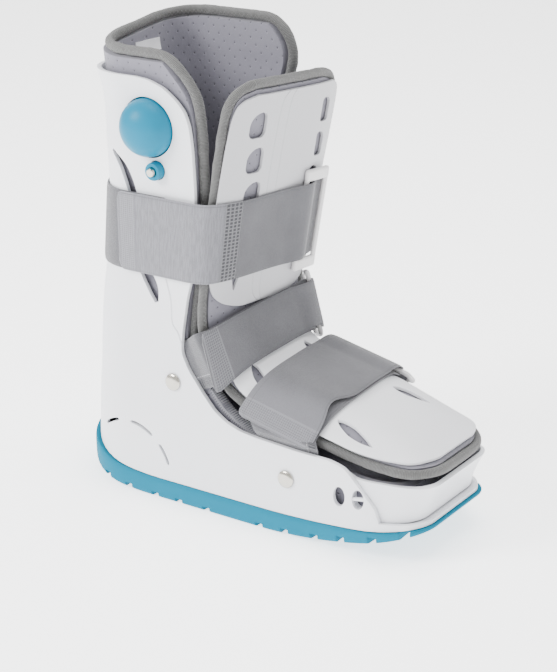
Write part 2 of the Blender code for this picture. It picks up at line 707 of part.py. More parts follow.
def build_liner_binding(root):
    """Binding tape rolled over the liner's free edge, from the ankle over the top."""
    reach = LINER_BINDING_RADIUS + SOFT_CLEARANCE
    middle_share = 1.0 + LINER_RISE / SHELL_HEIGHT
    near_path = edge_path(-1, reach)
    far_path = edge_path(1, reach)
    ring = liner_row(middle_share, LINER_THICKNESS / 2, 0.0)
    top = []
    near_end, far_end = near_path[-1], far_path[-1]
    half = len(ring) // 2
    order = ring[half - 1::-1] + ring[:half - 1:-1]
    for point in order:
        limit = near_end[0] if point.y <= 0 else far_end[0]
        if point.x < limit - 0.004:
            top.append((point.x, point.y, point.z + reach))
    path = near_path + top + far_path[::-1]
    return tube("liner_binding", path, LINER_BINDING_RADIUS, "binding_tape", root)


def edge_path(side, reach):
    """Points just outside a liner edge, bottom to top, on the wall's middle."""
    near, far = (np.array(edge) for edge in liner_edges())
    path = []
    for index in range(LINER_BINDING_TO, LINER_BINDING_FROM - 1, -1):
        z = near[index][1] if side < 0 else far[index][1]
        half = section(z)[1] - liner_inset(z / SHELL_HEIGHT) - LINER_THICKNESS / 2
        share = 0.5 + side * half / (2 * HALF_WIDTH)
        line = near + (far - near) * share
        along = unit(line[index - 1] - line[index + 1])
        x, z = line[index] + np.array([along[1], -along[0]]) * reach
        path.append((x, side * half, z))
    high = SHELL_HEIGHT + LINER_RISE + LINER_TILT * side * half / HALF_WIDTH + reach
    path.append((line[LINER_BINDING_FROM][0] - 0.001, side * half, high))
    return path


def flap_line():
    """Distance along the flap and its rows: x, z, tilt and the drops of both sides."""
    rows = np.array([(along * HALF_LENGTH, height * SHELL_HEIGHT, tilt,
                      near * HALF_WIDTH, far * HALF_WIDTH)
                     for along, height, tilt, near, far in FLAP])
    steps = np.linalg.norm(np.diff(rows[:, :2], axis=0), axis=1)
    return np.concatenate([[0.0], np.cumsum(steps)]), rows


def flap_face(share, y):
    """Point of the flap's outer face at a share of its length."""
    distances, rows = flap_line()
    at = share * distances[-1]
    step = 0.002
    x, z, tilt, near_drop, far_drop = smooth_read(distances, rows, at)
    ahead = smooth_read(distances, rows, at + step)[:2]
    behind = smooth_read(distances, rows, at - step)[:2]
    along = unit(ahead - behind)
    drop = near_drop if y < 0 else far_drop
    reach = PAD_WIDTH / 2
    fall = tilt * y - drop * min(abs(y) / reach, 1.15) ** FLAP_EXPONENT
    return np.array((x - along[1] * fall, y, z + along[0] * fall))


def flap_point(share, y, depth=0.0):
    """Point sunk below the flap's outer face by a depth, or lifted off it where negative."""
    here = flap_face(share, y)
    if depth == 0:
        return here
    share_step, y_step = 0.006, 0.002
    down = flap_face(share + share_step, y) - flap_face(share - share_step, y)
    across = flap_face(share, y + y_step) - flap_face(share, y - y_step)
    return here - unit(np.cross(down, across)) * depth


def flap_grid(outline, width, depth):
    grid = []
    spread = np.linspace(-1, 1, GRID_COLUMNS)
    spread = np.sign(spread) * np.abs(spread) ** GRID_BIAS
    for share, middle, half in outline:
        grid.append([flap_point(share, (middle + half * place) * width / 2, depth)
                     for place in spread])
    return np.array(grid)


def edge_taper(rows, columns, edge_share):
    """Share of the full thickness at each grid point, thinner along the rim."""
    row = np.minimum(np.arange(rows), np.arange(rows)[::-1])[:, None]
    col = np.minimum(np.arange(columns), np.arange(columns)[::-1])[None, :]
    near = np.minimum(row, col)
    return np.where(near == 0, edge_share, np.where(near == 1, (1 + edge_share) / 2 + 0.1, 1.0))


def build_pad(root):
    """Padded front flap from the shin to the toe, and the tape around its edge."""
    grid = flap_grid(PAD_OUTLINE, PAD_WIDTH, PANEL_WALL + SOFT_CLEARANCE)
    rows, columns = grid.shape[:2]
    thickness = PAD_THICKNESS * edge_taper(rows, columns, PAD_EDGE_SHARE)
    sheet_solid("front_pad", grid, thickness, "liner_fabric", root)
    middle = grid - grid_normals(grid) * PAD_BINDING_RADIUS
    rim = middle.reshape(-1, 3)[rim_order(rows, columns)]
    path = rim_offset(rim, grid_normals(grid).reshape(-1, 3)[rim_order(rows, columns)],
                      PAD_BINDING_RADIUS + CLEARANCE)
    tube("front_pad_binding", path, PAD_BINDING_RADIUS, "binding_tape", root, closed=True)


def rim_offset(rim, normals, reach):
    """Points outside a closed rim, moved square to the rim and to the sheet's normal."""
    count = len(rim)
    path = []
    for index in range(count):
        along = rim[(index + 1) % count] - rim[index - 1]
        outwards = np.cross(normals[index], along)
        outwards = outwards / np.linalg.norm(outwards)
        path.append(rim[index] + outwards * reach)
    return path


def build_shin_panel(root):
    """Plastic shin plate with a column of windows near each side."""
    grid = flap_grid(SHIN_PANEL_OUTLINE, SHIN_PANEL_WIDTH, 0.0)
    panel = sheet_solid("shin_panel", grid, PANEL_WALL, "panel_white", root)
    for index, (near, far, height) in enumerate(SHIN_WINDOWS):
        for side, across in (("near", near), ("far", far)):
            middle = (across * PAD_WIDTH / 2, height * SHELL_HEIGHT)
            outline = rounded_window(middle, SHIN_WINDOW_WIDTH * (1 if side == "near" else 0.6),
                                     SHIN_WINDOW_HEIGHT)
            cut_shin_window(panel, "shin_window_%s_%d" % (side, index), outline, root)
    middle = (SHIN_LOW_WINDOW[0] * PAD_WIDTH / 2, SHIN_LOW_WINDOW[1] * SHELL_HEIGHT)
    low_window = [(middle[0] + SHIN_WINDOW_WIDTH * 0.35 * cos(turn),
                   middle[1] + SHIN_WINDOW_HEIGHT * 0.6 * sin(turn))
                  for turn in (pi / 6, 5 * pi / 6, 3 * pi / 2)]
    cut_shin_window(panel, "shin_low_window", low_window, root)
    return panel


def cut_shin_window(panel, name, outline, root):
    cut(panel, prism(name, [(-HALF_WIDTH, y, z) for y, z in outline],
                     [(HALF_WIDTH, y, z) for y, z in outline], root))


def rounded_window(middle, width, height):
    """Window outline with a large radius on its upper inner corner."""
    points = []
    for turn, radius in ((0, 0.25), (1, 0.45), (2, 0.25), (3, 0.25)):
        corner = radius * width
        sign_y, sign_z = ((1, 1), (-1, 1), (-1, -1), (1, -1))[turn]
        centre_y = middle[0] + sign_y * (width / 2 - corner)
        centre_z = middle[1] + sign_z * (height / 2 - corner)
        for step in range(2):
            angle = turn * pi / 2 + step * pi / 2
            points.append((centre_y + corner * cos(angle), centre_z + corner * sin(angle)))
    return points


def build_instep_panel(root):
    """Plastic plate over the instep and the toes with pointed windows."""
    grid = flap_grid(INSTEP_PANEL_OUTLINE, INSTEP_PANEL_WIDTH, 0.0)
    panel = sheet_solid("instep_panel", grid, PANEL_WALL, "panel_white", root)
    for index, row in enumerate(INSTEP_WINDOWS):
        start = Vector((row[0] * HALF_LENGTH, row[1] * HALF_WIDTH, 0))
        end = Vector((row[2] * HALF_LENGTH, row[3] * HALF_WIDTH, 0))
        outline = lens_outline(start, end, INSTEP_WINDOW_WIDTH)
        high = Vector((0, 0, SHELL_HEIGHT))
        cut(panel, prism("instep_window_%d" % index, outline,
                         [point + high for point in outline], root))
    return panel


def lens_outline(start, end, width):
    """Pointed lens between two points, fullest at two fifths of its length."""
    along = end - start
    across = Vector((-along.y, along.x, 0)).normalized() * width / 2
    shares = ((0.0, 0.0), (0.12, 0.6), (0.4, 1.0), (0.75, 0.7), (1.0, 0.0))
    right = [start + along * share + across * wide for share, wide in shares]
    left = [start + along * share - across * wide for share, wide in shares[-2:0:-1]]
    return right + left


def side_wall(height, depth):
    """Half width of the shell's side at a height, sunk by a depth."""
    return section(height)[1] - depth


def add_strap(name, lines, root, square_start=True):
    """Strap through pairs of edge points, lower then upper, with its end corners eased."""
    rows = []
    for lower, upper in lines:
        lower, upper = np.array(lower), np.array(upper)
        rows.append([lower + (upper - lower) * share for share in (0.0, 0.12, 0.88, 1.0)])
    ends = (-1,) if square_start else (0, -1)
    for end in ends:
        beside = rows[1] if end == 0 else rows[-2]
        edge = rows[end]
        edge[0] = edge[0] * 0.5 + beside[0] * 0.5
        edge[-1] = edge[-1] * 0.5 + beside[-1] * 0.5
    return sheet_solid(name, np.array(rows), STRAP_THICKNESS, "strap_grey", root,
                       smooth_degrees=60, centred=True)


def fold(lower, upper, along, outwards, reverse=False):
    """Half turn around a ring bar that runs from the lower to the upper point."""
    radius = RING_BAR_RADIUS + CLEARANCE + STRAP_THICKNESS / 2
    lines = []
    for step in range(5):
        turn = (-0.5 + step / 4) * pi * (-1 if reverse else 1)
        shift = (np.array(along) * cos(turn) + np.array(outwards) * sin(turn)) * radius
        lines.append((np.array(lower) + shift, np.array(upper) + shift))
    return lines


def unit(vector):
    vector = np.array(vector, float)
    return vector / np.linalg.norm(vector)


def add_ring(name, near_lower, near_upper, far_upper, far_lower, root):
    """Rounded rectangular loop through four corners, its bars longer than the strap is wide."""
    near_lower, near_upper = stretched(near_lower, near_upper)
    far_lower, far_upper = stretched(far_lower, far_upper)
    corners = [near_lower, near_upper, far_upper, far_lower]
    path = []
    for index, corner in enumerate(corners):
        before = unit(corners[index - 1] - corner)
        after = unit(corners[(index + 1) % 4] - corner)
        bend = 2.2 * RING_BAR_RADIUS
        path += [corner + before * bend, corner + (before + after) * bend * 0.3,
                 corner + after * bend]
    return tube(name, path, RING_BAR_RADIUS, "ring_plastic", root, closed=True)


def stretched(lower, upper):
    extra = unit(np.array(upper) - np.array(lower)) * (RING_MARGIN + RING_BAR_RADIUS)
    return np.array(lower) - extra, np.array(upper) + extra


def flap_line_points(row, lift):
    across, lower, upper = row
    y = across * PAD_WIDTH / 2
    return np.array(flap_point(lower, y, -lift)), np.array(flap_point(upper, y, -lift))


def tail_lines(table, side, over, outside):
    """Strap tail: it lies inside the shell, then comes out over the edge."""
    lines = []
    channel = SHELL_WALL + SOFT_CLEARANCE + STRAP_THICKNESS / 2
    for lower_along, lower_height, upper_along, upper_height in table:
        pair = []
        for along, height in ((lower_along, lower_height), (upper_along, upper_height)):
            z = height * SHELL_HEIGHT
            pair.append(np.array((along * HALF_LENGTH, side * side_wall(z, channel), z)))
        lines.append(tuple(pair))
    lines.append(tuple(np.array((along * HALF_LENGTH, side * outside, height * SHELL_HEIGHT))
                       for along, height in over))
    return lines


def tape_outside():
    """How far out a strap has to stand to pass outside the flap's edge tape."""
    return PAD_WIDTH / 2 * 0.85 + 2 * PAD_BINDING_RADIUS + 2 * STRAP_THICKNESS


def build_crossing_strap(name, tail, over, layer, ring_across, root):
    """Strap from its near rivet over the flap, round the far ring and back over itself."""
    low = STRAP_GAP + STRAP_THICKNESS / 2
    high = low + STRAP_THICKNESS + CLEARANCE
    radius = RING_BAR_RADIUS + CLEARANCE + STRAP_THICKNESS / 2
    bottom = [flap_line_points(row, low) for row in layer]
    end_row = (ring_across,) + layer[-1][1:]
    lower, upper = flap_line_points(end_row, low + radius)
    raised = flap_line_points(layer[-1], low + radius)
    middle = (lower + upper) / 2
    along = unit(middle - (raised[0] + raised[1]) / 2)
    axis = unit(upper - lower)
    outwards = unit(np.cross(along, axis))
    lines = tail_lines(tail, -1, over, tape_outside())
    lines += bottom + fold(lower, upper, along, outwards)
    lifts = (low + 2 * radius, low + 1.6 * radius, high) + (high,) * len(layer)
    lines += [flap_line_points(row, lift) for row, lift in zip(layer[::-1], lifts)]
    lines.append(strap_end(layer[0], high))
    strap = add_strap(name, lines, root)
    return strap, (lower, upper)


def strap_end(row, lift):
    """Near end of a strap, a little past the flap's edge."""
    across, lower, upper = row
    return flap_line_points((across - 0.09, lower, upper), lift)


def build_ankle_strap(root):
    """Ankle strap, its ring and the tab that holds the ring on the far side."""
    strap, (lower, upper) = build_crossing_strap("ankle_strap", ANKLE_TAIL, ANKLE_OVER,
                                                 ANKLE_LAYER, ANKLE_RING_ACROSS, root)
    cut_rivet_hole(strap, "ankle_strap_rivet_hole", ANKLE_RIVET, root)
    far_lower, far_upper = far_bar(lower, upper, ANKLE_FAR_BAR)
    add_ring("ankle_ring", lower, upper, far_upper, far_lower, root)
    build_tab("ankle_ring_tab", (ANKLE_TAIL, ANKLE_TAB_OVER), far_lower, far_upper, ANKLE_RIVET, root)


def build_toe_strap(root):
    """Toe strap, its ring and the tab that holds the ring on the far side."""
    strap, (lower, upper) = build_crossing_strap("toe_strap", TOE_TAIL, TOE_OVER,
                                                 TOE_LAYER, TOE_RING_ACROSS, root)
    cut_rivet_hole(strap, "toe_strap_rivet_hole", TOE_RIVET, root)
    far_lower, far_upper = far_bar(lower, upper, TOE_FAR_BAR)
    add_ring("toe_ring", lower, upper, far_upper, far_lower, root)
    build_tab("toe_ring_tab", (TOE_TAIL, TOE_TAB_OVER), far_lower, far_upper, TOE_RIVET, root)


def far_bar(lower, upper, shift):
    """Far bar of a ring: shares of half length, half width and shell height from the near bar."""
    move = np.array((shift[0] * HALF_LENGTH, shift[1] * HALF_WIDTH, shift[2] * SHELL_HEIGHT))
    return lower + move, upper + move


def build_tab(name, tables, far_lower, far_upper, rivet, root):
    """Short strap from a far rivet up to a ring, folded round the ring's far bar."""
    radius = RING_BAR_RADIUS + CLEARANCE + STRAP_THICKNESS / 2
    tail, over = tables
    lines = tail_lines(tail, 1, over, tape_outside() + RING_BAR_RADIUS)
    middle = (far_lower + far_upper) / 2
    start = (lines[-1][0] + lines[-1][1]) / 2
    axis = unit(far_upper - far_lower)
    along = unit(middle - start)
    along = unit(along - axis * np.dot(along, axis))
    outwards = unit(np.cross(along, axis))
    if outwards[1] < 0:
        outwards = -outwards
    lines += fold(far_lower, far_upper, along, outwards)
    back = outwards * radius - along * TAB_REACH
    lines.append((far_lower + back, far_upper + back))
    tab = add_strap(name, lines, root)
    cut_rivet_hole(tab, name + "_rivet_hole", rivet, root)
    return tab


def cut_rivet_hole(item, name, place, root):
    outline = disc_outline(side_place(place), RIVET_HOLE, 1.0, 8)
    cut(item, prism_between(name, outline, outline, -BOOT_WIDTH, BOOT_WIDTH, root))


def flap_at_height(height, y, depth):
    """Point of the flap at a height, found by halving the span of its shin part."""
    low, high = 0.0, 0.5
    for _ in range(24):
        middle = (low + high) / 2
        if flap_point(middle, y, depth)[2] > height:
            low = middle
        else:
            high = middle
    return np.array(flap_point((low + high) / 2, y, depth))


def shaft_strap_path(height):
    """Plan path of the shaft strap at one height, from its inner end round to its outer end."""
    under = CLEARANCE + STRAP_THICKNESS / 2
    over = under + STRAP_THICKNESS + CLEARANCE
    back, half, corner, front = section(height)
    near = half_outline(back, half, corner, front, -under)
    start = SHAFT_STRAP_OVERLAP * HALF_LENGTH
    path = [(start, -(half + under))] + [p for p in near if p[0] < start - 0.004][::-1]
    reach = SHAFT_STRAP_LEAVES * HALF_LENGTH
    path += [(x, -y) for x, y in near if x < reach - 0.006] + [(reach, half + under)]
    edge = flap_at_height(height, PAD_WIDTH / 2, -under)
    side = tape_outside() + SHAFT_STRAP_BULGE
    path += [(edge[0] - 0.024, side - 0.0045), (edge[0] - 0.013, side),
             (edge[0] - 0.004, side - 0.001)]
    for share, lift in SHAFT_STRAP_CROSSING:
        point = flap_at_height(height, share * PAD_WIDTH / 2, -under - lift * RING_BAR_RADIUS)
        path.append((point[0], point[1]))
    last = path[-1]
    path += [(last[0] - 0.0040, -half - under), (last[0] - 0.012, -half - over),
             (SHELL_EDGE[8][0] * HALF_LENGTH, -half - over), (start, -half - over)]
    path.append((SHAFT_STRAP_END * HALF_LENGTH + 0.016, -half - over))
    outer = half_outline(back, half, corner, front, -over)
    tip = min(outer, key=lambda p: abs(p[0] - SHAFT_STRAP_END * HALF_LENGTH))
    path.append(tip)
    return path


def build_shaft_strap(root):
    """Shaft strap: one length that goes round the shaft, through its ring and over itself."""
    low = SHAFT_STRAP_LEVEL - SHAFT_STRAP_WIDTH / 2
    high = SHAFT_STRAP_LEVEL + SHAFT_STRAP_WIDTH / 2
    lower = [(x, y, low) for x, y in shaft_strap_path(low)]
    upper = [(x, y, high) for x, y in shaft_strap_path(high)]
    lines = list(zip(lower, upper))
    add_strap("shaft_strap", lines, root)
    bar = RING_BAR_RADIUS
    gap = CLEARANCE + bar
    over = 2 * CLEARANCE + STRAP_THICKNESS + 1.6 * bar
    corners = []
    near_bar, far_bar_place = SHAFT_RING_ACROSS
    for height, across, lift in ((low, near_bar, gap), (high, near_bar, gap),
                                 (high, far_bar_place, over), (low, far_bar_place, over)):
        corners.append(flap_at_height(height, across * PAD_WIDTH / 2, -lift))
    add_ring("shaft_ring", *corners, root)


def wall_normal(height):
    """Outward normal of the near wall at a height."""
    step = 0.008
    slope = (section(height + step)[1] - section(height - step)[1]) / (2 * step)
    return Vector((0, -1, -slope)).normalized()


def dome(radius, reach, steps=5, squareness=2.2):
    """Profile rows of a dome: distance from its base and radius."""
    rows = []
    for step in range(steps + 1):
        turn = step / steps * pi / 2 * 0.97
        rows.append((reach * sin(turn), radius * cos(turn) ** (2 / squareness)))
    return rows


def pump_seat(place):
    x, z = side_place(place)
    return Vector((x, -side_wall(z, 0.0), z)), wall_normal(z)


def build_pump(root):
    """Squeeze bulb and release valve, each held by a flange behind the shell's wall."""
    seat, normal = pump_seat(BULB_PLACE)
    inside = -SHELL_WALL - 2 * CLEARANCE
    profile = [(inside - PUMP_FLANGE, BULB_RADIUS + PUMP_FLANGE_RIM),
               (inside, BULB_RADIUS + PUMP_FLANGE_RIM), (inside, BULB_RADIUS)]
    profile += [(distance, radius) for distance, radius in dome(BULB_RADIUS, BULB_REACH)]
    turned("pump_bulb", profile, 18, seat, normal, "pump_blue", root)
    seat, normal = pump_seat(VALVE_PLACE)
    bore = VALVE_PIN_RADIUS + CLEARANCE
    floor = VALVE_REACH - VALVE_PIN_LENGTH + VALVE_PIN_PROUD - VALVE_TRAVEL - CLEARANCE
    profile = [(inside - PUMP_FLANGE, VALVE_RADIUS + PUMP_FLANGE_RIM),
               (inside, VALVE_RADIUS + PUMP_FLANGE_RIM), (inside, VALVE_RADIUS),
               (VALVE_REACH - 0.0006, VALVE_RADIUS), (VALVE_REACH, VALVE_RADIUS - 0.0006),
               (VALVE_REACH, bore), (floor, bore)]
    turned("valve_body", profile, 12, seat, normal, "pump_blue", root)
    start = VALVE_REACH + VALVE_PIN_PROUD - VALVE_PIN_LENGTH
    end = VALVE_REACH + VALVE_PIN_PROUD
    profile = [(start, VALVE_PIN_RADIUS), (end - 0.0008, VALVE_PIN_RADIUS),
               (end, VALVE_PIN_RADIUS - 0.0008)]
    turned("valve_pin", profile, 10, seat, normal, "rivet_metal", root)


def build_rivets(root):
    """Domed rivets that hold the straps and the ring tabs to the shell."""
    for name, place in (("ankle_rivet", ANKLE_RIVET), ("toe_rivet", TOE_RIVET)):
        x, z = side_place(place)
        for word, side in (("near", -1), ("far", 1)):
            seat = Vector((x, side * side_wall(z, 0.0), z))
            outwards = wall_normal(z)
            outwards.y *= -side
            inner = -SHELL_WALL - SOFT_CLEARANCE - STRAP_THICKNESS
            rim = SOFT_CLEARANCE + RIVET_RIM
            profile = [(inner, RIVET_SHANK), (SOFT_CLEARANCE, RIVET_SHANK),
                       (SOFT_CLEARANCE, RIVET_RADIUS)]
            profile += [(distance + rim, radius)
                        for distance, radius in dome(RIVET_RADIUS, RIVET_DOME, 2)]
            turned(name + "_" + word, profile, 10, seat, outwards, "rivet_metal", root)


def build_tag(root):
    """Blank cloth tag sewn inside the top of the liner's back."""
    height = SHELL_HEIGHT * 1.022
    share = height / SHELL_HEIGHT
    back = section(height)[0] - liner_inset(share) - LINER_THICKNESS - CLEARANCE
    middle = Vector((-back, 0.09 * HALF_WIDTH, height))
    half = Vector((TAG_THICKNESS, TAG_WIDTH / 2, TAG_HEIGHT / 2))
    vertices = [(middle.x + dx * half.x, middle.y + dy * half.y, middle.z + dz * half.z)
                for dx in (0, 1) for dy in (-1, 1) for dz in (-1, 1)]
    faces = [(0, 1, 3, 2), (4, 6, 7, 5), (0, 4, 5, 1), (2, 3, 7, 6), (0, 2, 6, 4), (1, 5, 7, 3)]
    add_solid("liner_tag", vertices, faces, "tag_cloth", root)


def stand_on_origin(root):
    """Move the boot so that the bottom centre of its box is the origin."""
    bpy.context.view_layer.update()
    graph = bpy.context.evaluated_depsgraph_get()
    low = Vector((1e9, 1e9, 1e9))
    high = -low
    for item in bpy.data.objects:
        if item.type != "MESH" or item.hide_render:
            continue
        evaluated = item.evaluated_get(graph)
        mesh = evaluated.to_mesh()
        for vertex in mesh.vertices:
            for axis in range(3):
                low[axis] = min(low[axis], vertex.co[axis])
                high[axis] = max(high[axis], vertex.co[axis])
        evaluated.to_mesh_clear()
    root.location = (-(low.x + high.x) / 2, -(low.y + high.y) / 2, -low.z)


def main():
    clear_scene()
    root = bpy.data.objects.new("boot_frame", None)
    bpy.context.scene.collection.objects.link(root)
    build_outsole(root)
    build_shell(root)
    build_toe_bumper(root)
    build_liner(root)
    build_liner_binding(root)
    build_tag(root)
    build_pad(root)
    build_shin_panel(root)
    build_instep_panel(root)
    build_shaft_strap(root)
    build_ankle_strap(root)
    build_toe_strap(root)
    build_pump(root)
    build_rivets(root)
    stand_on_origin(root)


main()
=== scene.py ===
from math import cos, pi, radians, sin

import bmesh
import bpy
import numpy as np
from mathutils import Matrix, Vector
from mathutils.noise import noise


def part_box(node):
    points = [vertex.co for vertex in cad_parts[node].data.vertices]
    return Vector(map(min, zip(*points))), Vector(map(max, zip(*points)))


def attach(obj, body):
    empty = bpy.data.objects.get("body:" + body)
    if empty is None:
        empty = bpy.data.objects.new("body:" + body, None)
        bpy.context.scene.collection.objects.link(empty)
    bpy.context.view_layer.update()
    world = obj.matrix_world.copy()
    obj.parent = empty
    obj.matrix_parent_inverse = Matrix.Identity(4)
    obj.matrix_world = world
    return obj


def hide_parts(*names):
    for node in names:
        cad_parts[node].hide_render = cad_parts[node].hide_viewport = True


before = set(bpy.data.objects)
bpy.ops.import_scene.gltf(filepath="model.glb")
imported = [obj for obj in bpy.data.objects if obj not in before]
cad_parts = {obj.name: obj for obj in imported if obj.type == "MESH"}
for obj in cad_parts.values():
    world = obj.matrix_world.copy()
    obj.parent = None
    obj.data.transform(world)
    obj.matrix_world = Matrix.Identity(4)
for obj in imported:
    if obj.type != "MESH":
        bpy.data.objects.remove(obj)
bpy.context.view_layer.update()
sole_low, sole_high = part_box("outsole")
SHIFT = Vector(((sole_low.x + sole_high.x) / 2, (sole_low.y + sole_high.y) / 2, sole_low.z))

# Driving sizes of the sole and the shell
SOLE_LENGTH = 0.285
BOOT_WIDTH = 0.113
SOLE_THICKNESS = 0.015
HEEL_LIFT = 0.0114
HEEL_CUP = 0.018
TOE_LIFT = 0.022
TOE_BORDER_LIFT = 0.010
SHELL_HEIGHT = 0.295
SHELL_WALL = 0.003
SHELL_LIP = 0.0045
TREAD_DEPTH = 0.0035
TREAD_NOTCH = 0.006
TREAD_INSET = 0.009

# Driving sizes of the soft parts
LINER_RISE = 0.017
LINER_TILT = 0.0075
LINER_THICKNESS = 0.008
LINER_BINDING_RADIUS = 0.0034
PAD_THICKNESS = 0.007
PAD_EDGE_SHARE = 0.60
PAD_BINDING_RADIUS = 0.0031
PAD_WIDTH = 0.104
CLEARANCE = 0.0003
SOFT_CLEARANCE = 0.0005

# Driving sizes of the front panels
PANEL_WALL = 0.002
SHIN_PANEL_WIDTH = 0.098
INSTEP_PANEL_WIDTH = 0.088
SHIN_WINDOW_WIDTH = 0.0140
SHIN_WINDOW_HEIGHT = 0.0170
INSTEP_WINDOW_WIDTH = 0.0075

# Driving sizes of the toe bumper
BUMPER_WALL = 0.003
BUMPER_TOP = 0.0525
BUMPER_LEAN = 0.009
BUMPER_END_RISE = 0.004
BUMPER_LEAN_FROM = 0.79

# Driving sizes of the straps and rings
STRAP_THICKNESS = 0.0016
SHAFT_STRAP_WIDTH = 0.055
SHAFT_STRAP_LEVEL = 0.189
RING_BAR_RADIUS = 0.0018
RING_MARGIN = 0.0032
STRAP_CHANNEL = 0.0026

# Driving sizes of the air pump and the rivets
BULB_RADIUS = 0.0195
BULB_REACH = 0.0165
VALVE_RADIUS = 0.006
VALVE_REACH = 0.0055
VALVE_PIN_RADIUS = 0.003
VALVE_PIN_PROUD = 0.0025
VALVE_PIN_LENGTH = 0.0075
VALVE_TRAVEL = 0.002
PUMP_FLANGE = 0.0012
PUMP_FLANGE_RIM = 0.0015
RIVET_RADIUS = 0.006
RIVET_DOME = 0.0018
RIVET_RIM = 0.0004
RIVET_SHANK = 0.0022
RIVET_HOLE = 0.0032
TAG_WIDTH = 0.026
TAG_HEIGHT = 0.008
TAG_THICKNESS = 0.0006

HALF_LENGTH = SOLE_LENGTH / 2
HALF_WIDTH = BOOT_WIDTH / 2
CORNER_STEPS = 12
SIDE_STEPS = 56
TUBE_SIDES = 16

# Rows of the boot's body: shares of shell height, half length, half width and half width
SECTION_COLUMNS = ("height", "back", "half", "corner", "front")
SECTIONS = (
    (0.050, 0.975, 0.982, 0.88, 0.985),
    (0.136, 0.968, 0.975, 0.87, 0.975),
    (0.210, 0.961, 0.958, 0.85, 0.968),
    (0.288, 0.947, 0.925, 0.83, 0.800),
    (0.370, 0.933, 0.900, 0.79, 0.500),
    (0.441, 0.915, 0.887, 0.75, 0.300),
    (0.559, 0.867, 0.885, 0.68, 0.250),
    (0.678, 0.828, 0.903, 0.63, 0.250),
    (0.830, 0.835, 0.925, 0.65, 0.250),
    (0.949, 0.846, 0.960, 0.66, 0.250),
    (1.000, 0.866, 1.000, 0.65, 0.250),
    (1.120, 0.872, 1.010, 0.65, 0.250),
)
BODY_REFERENCE = 0.210

# Front edge of the shell seen from the side: shares of half length and of shell height
SHELL_EDGE = (
    (-0.512, 1.000), (-0.442, 0.997), (-0.358, 0.983), (-0.295, 0.959), (-0.253, 0.936),
    (-0.230, 0.905), (-0.218, 0.854), (-0.211, 0.742), (-0.218, 0.671), (-0.246, 0.553),
    (-0.274, 0.505), (-0.302, 0.424), (-0.309, 0.373), (-0.267, 0.336), (-0.182, 0.288),
    (-0.112, 0.254), (-0.042, 0.234), (0.042, 0.221), (0.140, 0.216), (0.358, 0.210),
    (0.540, 0.209), (0.618, 0.200), (0.665, 0.180), (0.709, 0.159), (0.779, 0.122),
)
# Front edge of the liner on the near side, then how much further the far side stands
LINER_EDGE = (
    (-0.470, 1.100, 0.150, 0.000), (-0.400, 1.035, 0.170, 0.045), (-0.345, 1.012, 0.170, 0.045),
    (-0.290, 0.986, 0.150, 0.030), (-0.250, 0.955, 0.090, 0.015), (-0.238, 0.915, 0.035, 0.000),
    (-0.230, 0.860, 0.020, 0.000), (-0.228, 0.742, 0.010, 0.000), (-0.232, 0.671, 0.000, 0.000),
    (-0.262, 0.553, 0.000, 0.000), (-0.284, 0.505, 0.000, 0.000), (-0.302, 0.424, 0.000, 0.000),
    (-0.302, 0.378, 0.000, 0.000), (-0.260, 0.344, 0.000, 0.000), (-0.162, 0.296, 0.000, 0.000),
    (-0.092, 0.258, 0.000, 0.000), (-0.022, 0.234, 0.000, 0.000), (0.060, 0.214, 0.000, 0.000),
    (0.150, 0.200, 0.000, 0.000), (0.320, 0.188, 0.000, 0.000), (0.600, 0.172, 0.000, 0.000),
    (1.100, 0.160, 0.000, 0.000),
)
LINER_BINDING_FROM = 1
LINER_BINDING_TO = 13

# Front flap's outer face, top to toe: place along, height, tilt, and near and far drop
FLAP = (
    (0.067, 0.963, 0.14, 0.205, 0.060),
    (0.028, 0.864, 0.14, 0.205, 0.060),
    (-0.018, 0.732, 0.14, 0.200, 0.080),
    (-0.050, 0.640, 0.15, 0.160, 0.100),
    (-0.081, 0.549, 0.15, 0.120, 0.100),
    (-0.105, 0.475, 0.15, 0.090, 0.090),
    (-0.100, 0.424, 0.14, 0.100, 0.090),
    (-0.052, 0.380, 0.12, 0.200, 0.140),
    (0.028, 0.349, 0.12, 0.320, 0.190),
    (0.105, 0.334, 0.12, 0.360, 0.220),
    (0.210, 0.324, 0.12, 0.380, 0.240),
    (0.351, 0.310, 0.12, 0.380, 0.240),
    (0.505, 0.295, 0.12, 0.360, 0.220),
    (0.646, 0.275, 0.10, 0.330, 0.200),
    (0.800, 0.251, 0.06, 0.230, 0.150),
    (0.960, 0.226, 0.00, 0.080, 0.060),
)
FLAP_EXPONENT = 4.0
# Outlines of the pieces on the flap: share of the flap's length, middle, half width
PAD_OUTLINE = (
    (-0.014, 0.09, 0.64), (0.000, 0.09, 0.84), (0.030, 0.09, 0.92), (0.090, 0.09, 0.93),
    (0.220, 0.07, 0.91), (0.340, 0.05, 0.89), (0.400, 0.04, 0.88), (0.440, 0.03, 0.87),
    (0.475, 0.02, 0.86), (0.505, 0.01, 0.85), (0.530, 0.00, 0.85), (0.560, 0.00, 0.84),
    (0.600, 0.00, 0.84), (0.700, 0.00, 0.84), (0.800, 0.00, 0.84), (0.880, 0.00, 0.83),
    (0.940, 0.01, 0.81), (0.980, 0.02, 0.77), (1.010, 0.04, 0.64),
)
SHIN_PANEL_OUTLINE = (
    (-0.006, 0.19, 0.76), (0.006, 0.14, 0.91), (0.030, 0.11, 0.98), (0.090, 0.09, 1.00),
    (0.220, 0.06, 1.00), (0.340, 0.03, 0.99), (0.400, 0.03, 0.94), (0.430, 0.04, 0.80),
    (0.449, 0.06, 0.56),
)
